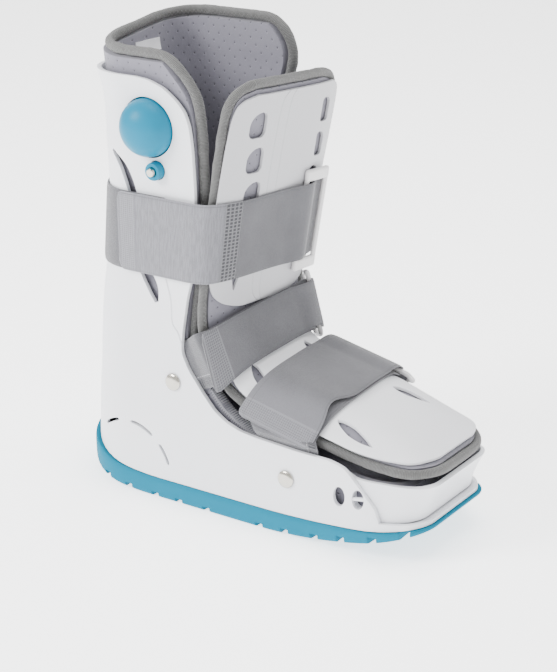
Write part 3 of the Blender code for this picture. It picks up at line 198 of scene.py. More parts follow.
INSTEP_PANEL_OUTLINE = (
    (0.517, 0.00, 0.66), (0.530, 0.00, 0.84), (0.560, 0.00, 0.95), (0.600, 0.00, 0.99),
    (0.700, 0.00, 1.00), (0.800, 0.00, 1.00), (0.880, 0.01, 1.00), (0.940, 0.05, 0.98),
    (0.980, 0.09, 0.91), (1.002, 0.14, 0.74),
)
GRID_BIAS = 0.9

# Places on the shell's side: shares of half length and of shell height
ANKLE_RIVET = (-0.351, 0.298)
TOE_RIVET = (0.309, 0.139)
BULB_PLACE = (-0.463, 0.888)
VALVE_PLACE = (-0.421, 0.793)
TOE_SLOTS = ((0.596, 0.132), (0.695, 0.136))
TOE_SLOT_SIZE = (0.0090, 0.0135)
HEEL_CRESCENT_CENTRE = (-0.617, 0.051)
HEEL_CRESCENT_RADIUS = 0.0365
HEEL_CRESCENT_SLIT = 0.0022
HEEL_CRESCENT_SPANS = ((104, 130), (55, 88), (18, 44))
REAR_SLOT = (
    (-0.690, 0.822, 0.30), (-0.610, 0.780, 0.90), (-0.555, 0.700, 1.00),
    (-0.525, 0.570, 1.20), (-0.475, 0.515, 1.25), (-0.452, 0.480, 0.45),
)
REAR_SLOT_WIDTH = 0.0075

# Windows of the shin panel: near and far middle across the pad, and height
SHIN_WINDOWS = ((-0.470, 0.790, 0.903), (-0.445, 0.775, 0.822), (-0.420, 0.735, 0.742))
SHIN_LOW_WINDOW = (-0.505, 0.543)
# Far windows' width, and the low window's size, as shares of a near window's
SHIN_FAR_WINDOW = 0.6
LOW_WINDOW_SIZE = (0.35, 0.6)
LOW_WINDOW_ROUND = 0.3
# Pointed windows of the instep panel: both ends as shares of half length and half width
INSTEP_WINDOWS = (
    (0.480, -0.560, 0.700, -0.670), (0.540, 0.420, 0.725, 0.560),
    (-0.030, -0.430, 0.120, -0.640), (0.030, 0.470, 0.180, 0.370),
)

# Shaft strap: where its inner end lies, where it leaves the far wall and where it ends
SHAFT_STRAP_OVERLAP = -0.380
SHAFT_STRAP_LEAVES = -0.270
SHAFT_STRAP_END = -0.655
SHAFT_STRAP_BULGE = 0.007
# Shaft strap over the flap: place across the pad and lift in ring bar radii
SHAFT_STRAP_CROSSING = (
    (1.00, 0.4), (0.90, 0.3), (0.76, 0.4), (0.66, 2.3), (0.58, 2.5), (0.48, 2.0), (0.30, 0.7),
    (0.00, 0.2), (-0.40, 0.2), (-0.60, 0.2), (-0.74, 0.2), (-0.84, 0.2), (-0.92, 0.2),
)
SHAFT_RING_ACROSS = (0.58, 0.92)

# Ankle strap inside the shell: along and height of its lower edge, then of its upper edge
ANKLE_TAIL = (
    (-0.400, 0.240, -0.490, 0.325), (-0.300, 0.268, -0.410, 0.368),
    (-0.235, 0.282, -0.330, 0.392), (-0.177, 0.296, -0.290, 0.403),
)
ANKLE_OVER = ((-0.085, 0.318), (-0.212, 0.430))
# Ankle strap over the flap: place across, then its lower and upper edge along the flap
ANKLE_LAYER = (
    (-0.930, 0.566, 0.476), (-0.840, 0.566, 0.473), (-0.720, 0.566, 0.469),
    (-0.560, 0.566, 0.463), (-0.200, 0.566, 0.454), (0.200, 0.566, 0.446),
    (0.560, 0.566, 0.440), (0.720, 0.566, 0.438), (0.840, 0.566, 0.437),
)
ANKLE_RING_ACROSS = 0.930
ANKLE_FAR_BAR = (-0.084, 0.210, -0.020)
ANKLE_TAB_OVER = ((-0.120, 0.318), (-0.225, 0.418))
# Toe strap, laid out in the same way
TOE_TAIL = (
    (0.400, 0.108, 0.200, 0.108), (0.430, 0.165, 0.150, 0.170), (0.455, 0.200, 0.125, 0.207),
    (0.460, 0.213, 0.122, 0.219),
)
TOE_OVER = ((0.470, 0.229), (0.117, 0.237))
TOE_LAYER = (
    (-0.900, 0.775, 0.604), (-0.820, 0.776, 0.603), (-0.720, 0.777, 0.602),
    (-0.560, 0.778, 0.602), (-0.200, 0.780, 0.602), (0.200, 0.781, 0.603),
    (0.560, 0.782, 0.604), (0.720, 0.782, 0.604), (0.840, 0.782, 0.604),
)
TOE_RING_ACROSS = 0.930
TOE_FAR_BAR = (0.0, 0.175, -0.030)
TOE_TAB_OVER = ((0.480, 0.244), (0.130, 0.252))
STRAP_GAP = 0.0009
TAB_REACH = 0.0072

# Materials

finishes = {}


class Recipe:
    """Material being made: its nodes, and short ways to add and join them."""

    def __init__(self, name, slot, colour, roughness, metallic=0.0):
        self.material = bpy.data.materials.new(name)
        self.material.use_nodes = True
        self.tree = self.material.node_tree
        self.shader = self.tree.nodes["Principled BSDF"]
        self.set("Base Color", (*colour, 1.0))
        self.set("Roughness", roughness)
        self.set("Metallic", metallic)
        self.coords = self.tree.nodes.new("ShaderNodeTexCoord")
        self.height = None
        finishes[name] = self.material

    def set(self, socket, value):
        self.shader.inputs[socket].default_value = value

    def join(self, value, socket):
        if isinstance(value, bpy.types.NodeSocket):
            self.tree.links.new(value, socket)
        else:
            socket.default_value = value

    def math(self, operation, first, second=0.0, third=None):
        node = self.tree.nodes.new("ShaderNodeMath")
        node.operation = operation
        self.join(first, node.inputs[0])
        self.join(second, node.inputs[1])
        if third is not None:
            self.join(third, node.inputs[2])
        return node.outputs[0]

    def noise(self, scale, detail=3.0, stretch=(1, 1, 1), source="Object", rough=0.5):
        """Noise from 0 to 1, with its detail scaled differently along each axis."""
        mapping = self.tree.nodes.new("ShaderNodeMapping")
        mapping.inputs["Scale"].default_value = stretch
        self.tree.links.new(self.coords.outputs[source], mapping.inputs["Vector"])
        node = self.tree.nodes.new("ShaderNodeTexNoise")
        node.inputs["Scale"].default_value = scale
        node.inputs["Detail"].default_value = detail
        node.inputs["Roughness"].default_value = rough
        self.tree.links.new(mapping.outputs[0], node.inputs["Vector"])
        return node.outputs["Fac"]

    def uv(self):
        """Distance along and across a sheet in metres."""
        split = self.tree.nodes.new("ShaderNodeSeparateXYZ")
        self.tree.links.new(self.coords.outputs["UV"], split.inputs[0])
        return split.outputs[0], split.outputs[1]

    def ramp(self, value, low, high):
        """0 below low, 1 above high, smooth between them."""
        node = self.tree.nodes.new("ShaderNodeMapRange")
        node.interpolation_type = "SMOOTHSTEP"
        self.join(value, node.inputs["Value"])
        node.inputs["From Min"].default_value = low
        node.inputs["From Max"].default_value = high
        return node.outputs[0]

    def between(self, value, low, high, soft=0.0002):
        """1 inside a band of values and 0 outside it."""
        return self.both(self.ramp(value, low - soft, low + soft),
                         self.outside(self.ramp(value, high - soft, high + soft)))

    def wave(self, value, pitch, shift=0.0):
        """Rounded ribs from 0 to 1, one every pitch."""
        turn = self.math("MULTIPLY_ADD", value, 2 * pi / pitch, shift)
        return self.math("MULTIPLY_ADD", self.math("SINE", turn), 0.5, 0.5)

    def cell(self, value, pitch, shift=0.0):
        """Place inside a repeating cell, from -0.5 to 0.5."""
        share = self.math("MULTIPLY_ADD", value, 1 / pitch, shift)
        return self.math("SUBTRACT", self.math("FRACT", share), 0.5)

    def mix(self, factor, first, second):
        node = self.tree.nodes.new("ShaderNodeMix")
        node.data_type = "RGBA"
        self.join(factor, node.inputs[0])
        for value, socket in ((first, node.inputs[6]), (second, node.inputs[7])):
            self.join(value if isinstance(value, bpy.types.NodeSocket) else (*value, 1.0), socket)
        return node.outputs[2]

    def both(self, first, second):
        """Product of two masks: 1 where both are 1."""
        return self.math("MULTIPLY", first, second)

    def outside(self, mask):
        return self.math("SUBTRACT", 1.0, mask)

    def tinted(self, tint, mask, share, colour):
        """Tint with a share of a colour laid over it inside a mask."""
        return self.mix(self.math("MULTIPLY", mask, share), tint, colour)

    def colour(self, value):
        self.join(value, self.shader.inputs["Base Color"])

    def roughness(self, noise_value, low, high):
        self.join(self.math("MULTIPLY_ADD", noise_value, high - low, low),
                  self.shader.inputs["Roughness"])

    def bump(self, height, distance, strength=1.0):
        """Add a relief of a height in metres over those that are there already."""
        node = self.tree.nodes.new("ShaderNodeBump")
        node.inputs["Strength"].default_value = strength
        node.inputs["Distance"].default_value = distance
        self.join(height, node.inputs["Height"])
        if self.height is not None:
            self.tree.links.new(self.height, node.inputs["Normal"])
        self.height = node.outputs[0]
        self.tree.links.new(self.height, self.shader.inputs["Normal"])


def plastic(name, slot, colour, shade, roughness):
    """Moulded plastic with a fine grain, faint flow marks and scuffs."""
    made = Recipe(name, slot, colour, roughness)
    flow = made.math("MULTIPLY", made.noise(14, 4.0, (1, 1, 0.5)), 0.5)
    scuff = made.ramp(made.noise(160, 6.0, (1.0, 1.0, 0.35), rough=0.7), 0.60, 0.80)
    made.colour(made.mix(made.math("MULTIPLY_ADD", scuff, 0.5, flow), colour, shade))
    made.roughness(made.noise(90, 4.0), roughness - 0.08, roughness + 0.10)
    made.bump(made.noise(2600, 2.0), 0.00002, 0.55)
    made.bump(made.noise(55, 3.0), 0.00012, 0.5)
    made.set("Specular IOR Level", 0.45)
    made.set("Coat Weight", 0.08)
    made.set("Coat Roughness", 0.35)
    return made


# Two low steps along the far side of the shin plate
SHIN_STEPS = (0.0395, 0.0480)
SHIN_STEP_RUN = 0.0016
SHIN_STEP_HEIGHT = 0.0005


def make_plastics():
    """Shell, panels, rings, sole, pump and rivets."""
    plastic("shell_plastic", "shell_white", (0.77, 0.78, 0.81), (0.70, 0.71, 0.75), 0.40)
    plastic("panel_plastic", "panel_white", (0.76, 0.765, 0.79), (0.70, 0.705, 0.74), 0.38)
    # The shin plate is the panels' white plastic painted darker: painted shade on the front-facing plate.
    shin = plastic("shaded_shin_plastic", "panel_white", (0.47, 0.47, 0.49), (0.43, 0.43, 0.45), 0.38)
    across = shin.uv()[1]
    for place in SHIN_STEPS:
        shin.bump(shin.ramp(across, place, place + SHIN_STEP_RUN), SHIN_STEP_HEIGHT, 1.0)
    plastic("ring_plastic", "ring_plastic", (0.72, 0.71, 0.71), (0.64, 0.63, 0.64), 0.38)
    sole = Recipe("sole_rubber", "sole_blue", (0.0, 0.15, 0.235), 0.60)
    dust = sole.math("MULTIPLY", sole.ramp(sole.noise(38, 5.0), 0.45, 0.80), 0.25)
    sole.colour(sole.mix(dust, (0.0, 0.145, 0.23), (0.0, 0.18, 0.27)))
    sole.roughness(sole.noise(120, 4.0), 0.50, 0.68)
    sole.set("Specular IOR Level", 0.06)
    sole.bump(sole.noise(900, 3.0), 0.00006, 0.6)
    sole.bump(sole.noise(60, 3.0), 0.00015, 0.5)
    bulb = Recipe("pump_rubber", "pump_blue", (0.0, 0.165, 0.275), 0.34)
    bulb.colour(bulb.mix(bulb.noise(30, 3.0), (0.0, 0.155, 0.265), (0.0, 0.178, 0.29)))
    bulb.roughness(bulb.noise(150, 4.0), 0.26, 0.42)
    bulb.bump(bulb.noise(70, 2.0), 0.00010, 0.35)
    bulb.set("Specular IOR Level", 0.12)
    metal = Recipe("rivet_metal", "rivet_metal", (0.50, 0.475, 0.42), 0.22, 1.0)
    metal.roughness(metal.noise(700, 4.0, (1, 1, 0.2)), 0.12, 0.32)
    metal.bump(metal.noise(1500, 3.0, (1, 1, 0.15)), 0.00001, 0.4)
    metal.set("Anisotropic", 0.3)


# Pin holes of the liner's cloth: space between rows, space in a row, and radius
PERFORATION_ROW = 0.0050
PERFORATION_STEP = 0.0100
PERFORATION_RADIUS = 0.00045
PERFORATION_DARK = (0.035, 0.035, 0.045)
CLOTH_LIGHT = (0.215, 0.21, 0.245)
CLOTH_SHADE = (0.185, 0.18, 0.215)
FUZZ_DARKENING = 0.72


def soft_cloth(name):
    """Brushed foam-backed cloth with fine knit, faint mottling and staggered pin holes."""
    made = Recipe(name, "liner_fabric", CLOTH_LIGHT, 0.93)
    along, across = made.uv()
    knit = made.both(made.wave(along, 0.0007), made.wave(across, 0.0006))
    fuzz = made.noise(1900, 3.0)
    tint = made.mix(made.noise(55, 5.0), CLOTH_LIGHT, CLOTH_SHADE)
    tint = made.tinted(tint, fuzz, 0.35, tuple(FUZZ_DARKENING * part for part in CLOTH_SHADE))
    row = made.math("FLOOR", made.math("DIVIDE", across, PERFORATION_ROW))
    stagger = made.math("MULTIPLY", made.math("MODULO", row, 2.0), 0.5)
    side = made.math("MULTIPLY", made.cell(along, PERFORATION_STEP, stagger), PERFORATION_STEP)
    down = made.math("MULTIPLY", made.cell(across, PERFORATION_ROW), PERFORATION_ROW)
    reach = made.math("SQRT", made.math("ADD", made.both(side, side), made.both(down, down)))
    hole = made.outside(made.ramp(reach, PERFORATION_RADIUS * 0.7, PERFORATION_RADIUS * 1.3))
    dimple = made.ramp(reach, PERFORATION_RADIUS * 0.5, PERFORATION_RADIUS * 3.2)
    made.colour(made.tinted(tint, hole, 0.85, PERFORATION_DARK))
    made.bump(dimple, 0.0004, 0.8)
    made.bump(knit, 0.00006, 0.6)
    made.bump(fuzz, 0.00012, 0.6)
    made.bump(made.noise(75, 3.0), 0.0007, 0.5)
    made.set("Sheen Weight", 0.35)
    made.set("Sheen Roughness", 0.45)
    made.set("Specular IOR Level", 0.2)


# Edge tape: pitch of its ribs, and its two rows of zigzag stitches by share of the way round
TAPE_RIB_PITCH = 0.00095
ZIGZAG_PITCH = 0.0032
ZIGZAG_SWING = 0.0052
ZIGZAG_ROWS = (0.10, 0.60)
ZIGZAG_THREAD = 0.00022


def make_tape():
    """Knit binding tape: fine cross ribs with painted shade in the grooves between them, a lengthwise grain
    and a zigzag stitch.
    """
    made = Recipe("edge_tape", "binding_tape", (0.36, 0.36, 0.34), 0.92)
    along, around = made.uv()
    ribs = made.wave(along, TAPE_RIB_PITCH)
    grain = made.noise(900, 3.0, (1, 6, 1), "UV")
    tint = made.mix(made.noise(120, 4.0), (0.150, 0.150, 0.147), (0.105, 0.105, 0.103))
    # Painted shade: the grooves between the ribs are darkened.
    tint = made.tinted(tint, made.outside(ribs), 0.55, (0.06, 0.06, 0.06))
    turn = 2 * pi * LINER_BINDING_RADIUS
    zigzag = made.math("MULTIPLY", made.math("ABSOLUTE", made.cell(along, ZIGZAG_PITCH)), ZIGZAG_SWING)
    for share in ZIGZAG_ROWS:
        beside = made.math("SUBTRACT", around, made.math("ADD", zigzag, share * turn))
        thread = made.between(beside, -ZIGZAG_THREAD, ZIGZAG_THREAD, 0.00008)
        tint = made.tinted(tint, thread, 0.7, (0.22, 0.22, 0.215))
        made.bump(thread, 0.00025, 0.7)
    made.colour(tint)
    made.bump(ribs, 0.00035, 1.0)
    made.bump(grain, 0.00010, 0.6)
    made.bump(made.noise(190, 3.0), 0.0006, 0.45)
    made.set("Sheen Weight", 0.3)
    made.set("Specular IOR Level", 0.2)


STRAP_LIGHT = (0.24, 0.24, 0.265)
STRAP_MIDDLE = (0.155, 0.155, 0.168)
STRAP_DARK = (0.10, 0.10, 0.108)
PILE_DARKENING = 0.55
PATCH_LIGHT = (0.26, 0.26, 0.28)
MESH_DARK = (0.05, 0.05, 0.055)


def webbing(name):
    """Loop cloth of a strap: brushed pile over a fine weave; places count from its near end."""
    made = Recipe(name, "strap_grey", STRAP_MIDDLE, 0.93)
    along, across = made.uv()
    pile = made.noise(1500, 4.0, rough=0.65)
    brushed = made.noise(160, 4.0, (1.0, 1.0, 0.2))
    tint = made.mix(made.noise(42, 4.0), STRAP_MIDDLE, STRAP_DARK)
    tint = made.tinted(tint, made.ramp(pile, 0.35, 0.68), 0.42,
                       tuple(PILE_DARKENING * part for part in STRAP_DARK))
    made.bump(pile, 0.00040, 0.9)
    made.bump(brushed, 0.00030, 0.35)
    made.set("Sheen Weight", 0.45)
    made.set("Sheen Roughness", 0.4)
    made.set("Specular IOR Level", 0.2)
    return made, along, across, tint


def selvedge(made, tint, across, width, dark):
    """Woven edge along both sides of a strap."""
    near = made.math("MINIMUM", across, made.math("SUBTRACT", width, across))
    line = made.between(near, 0.0010, 0.0016)
    made.bump(made.ramp(near, 0.0009, 0.0018), 0.0002, 0.6)
    return made.tinted(tint, line, 0.45, dark)


def mesh_holes(made, along, across, step_along, step_across):
    """Small square holes of an open mesh, 1 inside a hole."""
    side = made.math("ABSOLUTE", made.cell(along, step_along))
    down = made.math("ABSOLUTE", made.cell(across, step_across))
    return made.outside(made.ramp(made.math("MAXIMUM", side, down), 0.31, 0.40))


def stitch_line(made, across, along, place, pitch):
    """Row of stitches at a distance from a strap's lower edge."""
    dash = made.ramp(made.math("ABSOLUTE", made.cell(along, pitch)), 0.12, 0.18)
    return made.both(made.between(across, place - 0.0003, place + 0.0003, 0.0001), dash)


# Shaft strap along its length: pale end (partly a lighter threaded weave, partly painted light where it
# faces the lamp), strip of open mesh, sewn patch and the patch's rim
SHAFT_PALE = (0.080, 0.086)
SHAFT_STRIP = (0.0835, 0.0960)
SHAFT_STRIP_HOLES = (0.0031, 0.0025)
SHAFT_PATCH = (0.0020, 0.0150)
SHAFT_PATCH_RIM = (0.0012, 0.0160)
SHAFT_PATCH_HOLES = (0.0017, 0.0014)


def make_shaft_webbing():
    """Shaft strap: a pale threaded end, partly its own lighter weave and partly painted light, with a sewn
    patch, and a strip of open mesh.
    """
    made, along, across, tint = webbing("shaft_webbing")
    # The near end is paler: partly a lighter threaded weave, partly painted light where the strap faces the
    # key lamp.
    light = made.outside(made.ramp(along, *SHAFT_PALE))
    thread = made.noise(1, 3.0, (1000, 110, 1), "UV")
    tint = made.tinted(tint, light, 0.75, STRAP_LIGHT)
    tint = made.tinted(tint, made.both(made.ramp(thread, 0.40, 0.60), light), 0.75, (0.16, 0.16, 0.175))
    strip = made.between(along, *SHAFT_STRIP)
    holes = mesh_holes(made, along, across, *SHAFT_STRIP_HOLES)
    tint = made.tinted(tint, strip, 0.4, PATCH_LIGHT)
    tint = made.tinted(tint, made.both(strip, holes), 0.9, MESH_DARK)
    patch = made.between(along, *SHAFT_PATCH, 0.0003)
    patch_holes = mesh_holes(made, along, across, *SHAFT_PATCH_HOLES)
    tint = made.tinted(tint, patch, 0.5, (0.30, 0.30, 0.325))
    tint = made.tinted(tint, made.both(patch, patch_holes), 0.5, (0.09, 0.09, 0.10))
    rim = made.math("SUBTRACT", made.between(along, *SHAFT_PATCH_RIM), patch)
    tint = made.tinted(tint, rim, 0.5, (0.14, 0.14, 0.16))
    made.colour(selvedge(made, tint, across, SHAFT_STRAP_WIDTH, (0.10, 0.10, 0.11)))
    made.bump(made.both(thread, light), 0.0004, 0.8)
    made.bump(made.both(strip, made.outside(holes)), 0.0005, 0.8)


# Ankle and toe straps: width, length, end of the sewn patch, and how pale the near end is
BANDS = {"ankle": (0.0348, 0.281, 0.014, 0.08), "toe": (0.0550, 0.283, 0.013, 0.40)}
PATCH_FROM = 0.0022
PATCH_RIM = 0.0012
PATCH_HOLES = (0.0016, 0.0016)
PALE_SPAN = (0.020, 0.045)
WOVEN_LENGTH = 0.052
WOVEN_PITCH = 0.0012
COMB_SPAN = (0.0010, 0.0070)
COMB_PITCH = 0.0019
STITCH_PLACE = 0.0085
STITCH_PITCH = 0.0026


def make_crossing_webbing(word, width, length, patch_end, paleness):
    """Ankle or toe strap: a sewn patch at its near end, a comb stitch on its far woven end."""
    made, along, across, tint = webbing(word + "_webbing")
    patch = made.between(along, PATCH_FROM, patch_end, 0.0003)
    rim = made.math("SUBTRACT", made.between(along, PATCH_FROM - PATCH_RIM, patch_end + PATCH_RIM), patch)
    holes = made.both(patch, mesh_holes(made, along, across, *PATCH_HOLES))
    tint = made.tinted(tint, patch, 0.55, PATCH_LIGHT)
    tint = made.tinted(tint, holes, 0.75, (0.07, 0.07, 0.078))
    tint = made.tinted(tint, rim, 0.4, (0.30, 0.30, 0.32))
    woven = made.ramp(along, length - WOVEN_LENGTH, length - WOVEN_LENGTH + 0.002)
    weave = made.both(made.both(made.wave(along, WOVEN_PITCH), made.wave(across, WOVEN_PITCH)), woven)
    tint = made.tinted(tint, weave, 0.35, (0.15, 0.15, 0.17))
    stitch = made.both(woven, stitch_line(made, across, along, STITCH_PLACE, STITCH_PITCH))
    tint = made.tinted(tint, stitch, 0.7, (0.40, 0.40, 0.42))
    comb = made.both(made.between(across, *COMB_SPAN), made.ramp(made.cell(along, COMB_PITCH), -0.1, 0.1))
    tint = made.tinted(tint, made.both(comb, woven), 0.8, (0.03, 0.03, 0.035))
    pale = made.outside(made.ramp(along, *PALE_SPAN))
    tint = made.tinted(tint, pale, paleness, STRAP_LIGHT)
    made.colour(selvedge(made, tint, across, width, (0.085, 0.085, 0.092)))
    made.bump(holes, 0.0003, 0.7)
    made.bump(weave, 0.0002, 0.7)
    made.bump(stitch, 0.0003, 0.7)


def make_cloths():
    """Liner, flap, tape, tag, thread, straps and tabs."""
    soft_cloth("liner_cloth")
    soft_cloth("pad_cloth")
    make_tape()
    tag = Recipe("tag_cloth", "tag_cloth", (0.86, 0.86, 0.88), 0.85)
    along, across = tag.uv()
    tag.colour(tag.mix(tag.noise(200, 3.0), (0.86, 0.86, 0.88), (0.78, 0.78, 0.81)))
    tag.bump(tag.both(tag.wave(along, 0.0004), tag.wave(across, 0.0004)), 0.00005, 0.6)
    tag.set("Sheen Weight", 0.2)
    thread = Recipe("thread", "binding_tape", (0.42, 0.42, 0.45), 0.85)
    thread.colour(thread.mix(thread.noise(900, 2.0), (0.46, 0.46, 0.49), (0.34, 0.34, 0.38)))
    thread.bump(thread.noise(5000, 2.0), 0.00005, 0.6)
    thread.set("Sheen Weight", 0.2)
    make_shaft_webbing()
    for word, marks in BANDS.items():
        make_crossing_webbing(word, *marks)
    tabs, _, _, tint = webbing("tab_webbing")
    tabs.colour(tint)


# Reading tables and lines


def column(table, columns, name):
    """One named column of a table."""
    return np.array([row[columns.index(name)] for row in table])


def smooth_read(places, values, at):
    """Cubic read of a table whose slopes come from each row's neighbours."""
    places = np.asarray(places, float)
    values = np.asarray(values, float)
    at = np.asarray(at, float)
    slopes = np.gradient(values, places, axis=0)
    cell = np.clip(np.searchsorted(places, at) - 1, 0, len(places) - 2)
    width = places[cell + 1] - places[cell]
    t = (at - places[cell]) / width
    beyond = t - np.clip(t, 0, 1)
    t = t - beyond
    if values.ndim > 1:
        width, t, beyond = width[..., None], t[..., None], beyond[..., None]
    start = values[cell] * (1 + 2 * t) * (1 - t) ** 2 + slopes[cell] * width * t * (1 - t) ** 2
    end = values[cell + 1] * t * t * (3 - 2 * t) + slopes[cell + 1] * width * t * t * (t - 1)
    outside = np.where(beyond < 0, slopes[cell], slopes[cell + 1]) * beyond * width
    return start + end + outside


def distances(line):
    """Distance of each point of a line from its first point, along the line."""
    return np.concatenate([[0.0], np.cumsum(np.linalg.norm(np.diff(line, axis=0), axis=1))])


def curve_through(points, step):
    """Smooth curve through every point of a line, with even steps."""
    points = np.asarray(points, float)
    places = distances(points)
    count = max(2, int(round(places[-1] / step)) + 1)
    return smooth_read(places, points, np.linspace(0, places[-1], count))


def resampled(line, count):
    """Line with a given number of points, evenly apart."""
    line = np.asarray(line, float)
    lengths = distances(line)
    at = np.linspace(0, lengths[-1], count)
    return np.stack([np.interp(at, lengths, part) for part in line.T], axis=1)


def even_steps(line, step):
    """The same line with points an even distance apart."""
    return resampled(line, max(2, int(round(distances(line)[-1] / step)) + 1))


def eased(line, rounds, closed=False):
    """Line whose corners are rounded by averaging each point with its neighbours."""
    line = np.array(line, float)
    for _ in range(rounds):
        moved = (np.roll(line, 1, axis=0) + 2 * line + np.roll(line, -1, axis=0)) / 4
        if not closed:
            moved[0], moved[-1] = line[0], line[-1]
        line = moved
    return line


def unit(vector):
    """The same direction with a length of 1."""
    vector = np.array(vector, float)
    return vector / np.linalg.norm(vector)


def section(height):
    """Back, half width, corner radius and front of the body at a height."""
    rows = column(SECTIONS, SECTION_COLUMNS, "height")
    share = float(np.clip(height / SHELL_HEIGHT, rows[0], rows[-1]))
    read = {name: float(smooth_read(rows, column(SECTIONS, SECTION_COLUMNS, name), share))
            for name in ("back", "half", "corner")}
    front = float(np.interp(share, rows, column(SECTIONS, SECTION_COLUMNS, "front")))
    half = read["half"] * HALF_WIDTH
    return read["back"] * HALF_LENGTH, half, read["corner"] * half, front * HALF_LENGTH


# Round of the toe in plan, as shares of half length and half width
TOE_ROUND = (0.29, 0.50)
LEAST_CORNER = 0.002


def half_outline(back, half, corner, front, inset=0.0):
    """Near half of a plan outline, from the back corner to the front corner."""
    back, half, front = back - inset, half - inset, front - inset
    corner = max(corner - inset, LEAST_CORNER)
    front_x = min(TOE_ROUND[0] * HALF_LENGTH, front + back - corner) - inset
    front_y = TOE_ROUND[1] * HALF_WIDTH - inset
    points = []
    for step in range(CORNER_STEPS + 1):
        turn = step / CORNER_STEPS * pi / 2
        points.append((-back + corner - corner * cos(turn), -half + corner - corner * sin(turn)))
    start, end = -back + corner, front - front_x
    for step in range(1, SIDE_STEPS):
        points.append((start + (end - start) * step / SIDE_STEPS, -half))
    for step in range(CORNER_STEPS + 1):
        turn = step / CORNER_STEPS * pi / 2
        points.append((front - front_x + front_x * sin(turn), -half + front_y - front_y * cos(turn)))
    return points


def mirrored_ring(near):
    """Whole plan outline from its near half."""
    return near + [(x, -y) for x, y in reversed(near)]


# Where the border and the ground start to rise, as shares of half length
HEEL_CUP_FROM = 0.42
HEEL_CUP_RUN = 0.56
HEEL_CUP_POWER = 2.2
HEEL_ROCKER_FROM = 0.49
TOE_ROCKER_FROM = 0.14


def toe_rise(x):
    """Share of the toe's rise at x."""
    return max(0.0, (x - TOE_ROCKER_FROM * HALF_LENGTH) / ((1 - TOE_ROCKER_FROM) * HALF_LENGTH))


def border(x):
    """Height of the line where the shell meets the sole."""
    heel = max(0.0, (-x - HEEL_CUP_FROM * HALF_LENGTH) / (HEEL_CUP_RUN * HALF_LENGTH))
    return SOLE_THICKNESS + HEEL_CUP * heel ** HEEL_CUP_POWER + TOE_BORDER_LIFT * toe_rise(x) ** 2


def ground(x):
    """Height of the rocker bottom."""
    heel = max(0.0, (-x - HEEL_ROCKER_FROM * HALF_LENGTH) / ((1 - HEEL_ROCKER_FROM) * HALF_LENGTH))
    return HEEL_LIFT * heel ** 2 + TOE_LIFT * toe_rise(x) ** 2


def body_height(share, x, lift=0.0):
    """Height of a body row at x: low rows follow the border, high rows are level."""
    reference = BODY_REFERENCE * SHELL_HEIGHT
    level = share * SHELL_HEIGHT
    if level >= reference:
        return level
    low = SECTIONS[0][0] * SHELL_HEIGHT
    base = border(x) + lift
    return base + (level - low) / (reference - low) * (reference - base)


def body_row(share, inset=0.0, lift=0.0, front_inset=0.0):
    """Closed ring of the body at a share of the shell height."""
    back, half, corner, front = section(share * SHELL_HEIGHT)
    ring = mirrored_ring(half_outline(back, half, corner, front - front_inset, inset))
    return [Vector((x, y, body_height(share, x, lift))) for x, y in ring]


# Making meshes


def finish_piece(item, finish, smooth):
    """Give a piece its finish, its smoothing and its place in the shared frame."""
    mesh = item.data
    mesh.materials.clear()
    mesh.materials.append(finishes[finish])
    mesh.shade_smooth()
    mesh.set_sharp_from_angle(angle=radians(smooth))
    mesh.transform(Matrix.Translation(SHIFT))
    mesh.update()
    return item


def new_piece(name, vertices, faces, uvs=None):
    """Closed mesh from vertices and faces, with its faces turned outwards."""
    mesh = bpy.data.meshes.new(name)
    mesh.from_pydata([tuple(point) for point in vertices], [], faces)
    if uvs is not None:
        layer = mesh.uv_layers.new(name="UVMap")
        layer.data.foreach_set("uv", np.array(uvs, float).ravel())
    work = bmesh.new()
    work.from_mesh(mesh)
    bmesh.ops.remove_doubles(work, verts=work.verts, dist=1e-6)
    bmesh.ops.recalc_face_normals(work, faces=work.faces)
    work.to_mesh(mesh)
    work.free()
    item = bpy.data.objects.new(name, mesh)
    bpy.context.scene.collection.objects.link(item)
    return item


def apply_all(item):
    """Apply every modifier of a piece."""
    bpy.ops.object.select_all(action="DESELECT")
    bpy.context.view_layer.objects.active = item
    item.select_set(True)
    for modifier in list(item.modifiers):
        bpy.ops.object.modifier_apply(modifier=modifier.name)
    item.select_set(False)
    return item


def cut_away(item, cutters):
    """Take closed bodies out of a piece and remove them."""
    for cutter in cutters:
        boolean = item.modifiers.new("cut", "BOOLEAN")
        boolean.operation = "DIFFERENCE"
        boolean.solver = "EXACT"
        boolean.object = cutter
    apply_all(item)
    for cutter in cutters:
        bpy.data.objects.remove(cutter, do_unlink=True)
    return item


def soften_edges(item, width, segments, angle):
    """Round every edge that is sharper than an angle."""
    bevel = item.modifiers.new("edge", "BEVEL")
    bevel.width = width
    bevel.segments = segments
    bevel.limit_method = "ANGLE"
    bevel.angle_limit = radians(angle)
    bevel.use_clamp_overlap = True
    return apply_all(item)


def prism(first, second):
    """Closed cutter between two outlines of as many points each."""
    count = len(first)
    faces = [tuple(range(count)), tuple(range(2 * count - 1, count - 1, -1))]
    faces += [(i, (i + 1) % count, count + (i + 1) % count, count + i) for i in range(count)]
    return new_piece("cutter", list(first) + list(second), faces)


def prism_between(near, far, y_near, y_far):
    """Closed cutter between two side-view outlines."""
    return prism([(x, y_near, z) for x, z in near], [(x, y_far, z) for x, z in far])


def lengths_along(grid, axis):
    """Distance along one direction of a grid, measured on its middle line."""
    line = grid[:, grid.shape[1] // 2] if axis == 0 else grid[grid.shape[0] // 2]
    return distances(line)


def grid_normals(grid):
    """Unit normals of a grid of points, by the cross product of its two directions."""
    down = np.gradient(grid, axis=0)
    across = np.gradient(grid, axis=1)
    normals = np.cross(down, across)
    return normals / np.maximum(np.linalg.norm(normals, axis=2, keepdims=True), 1e-12)


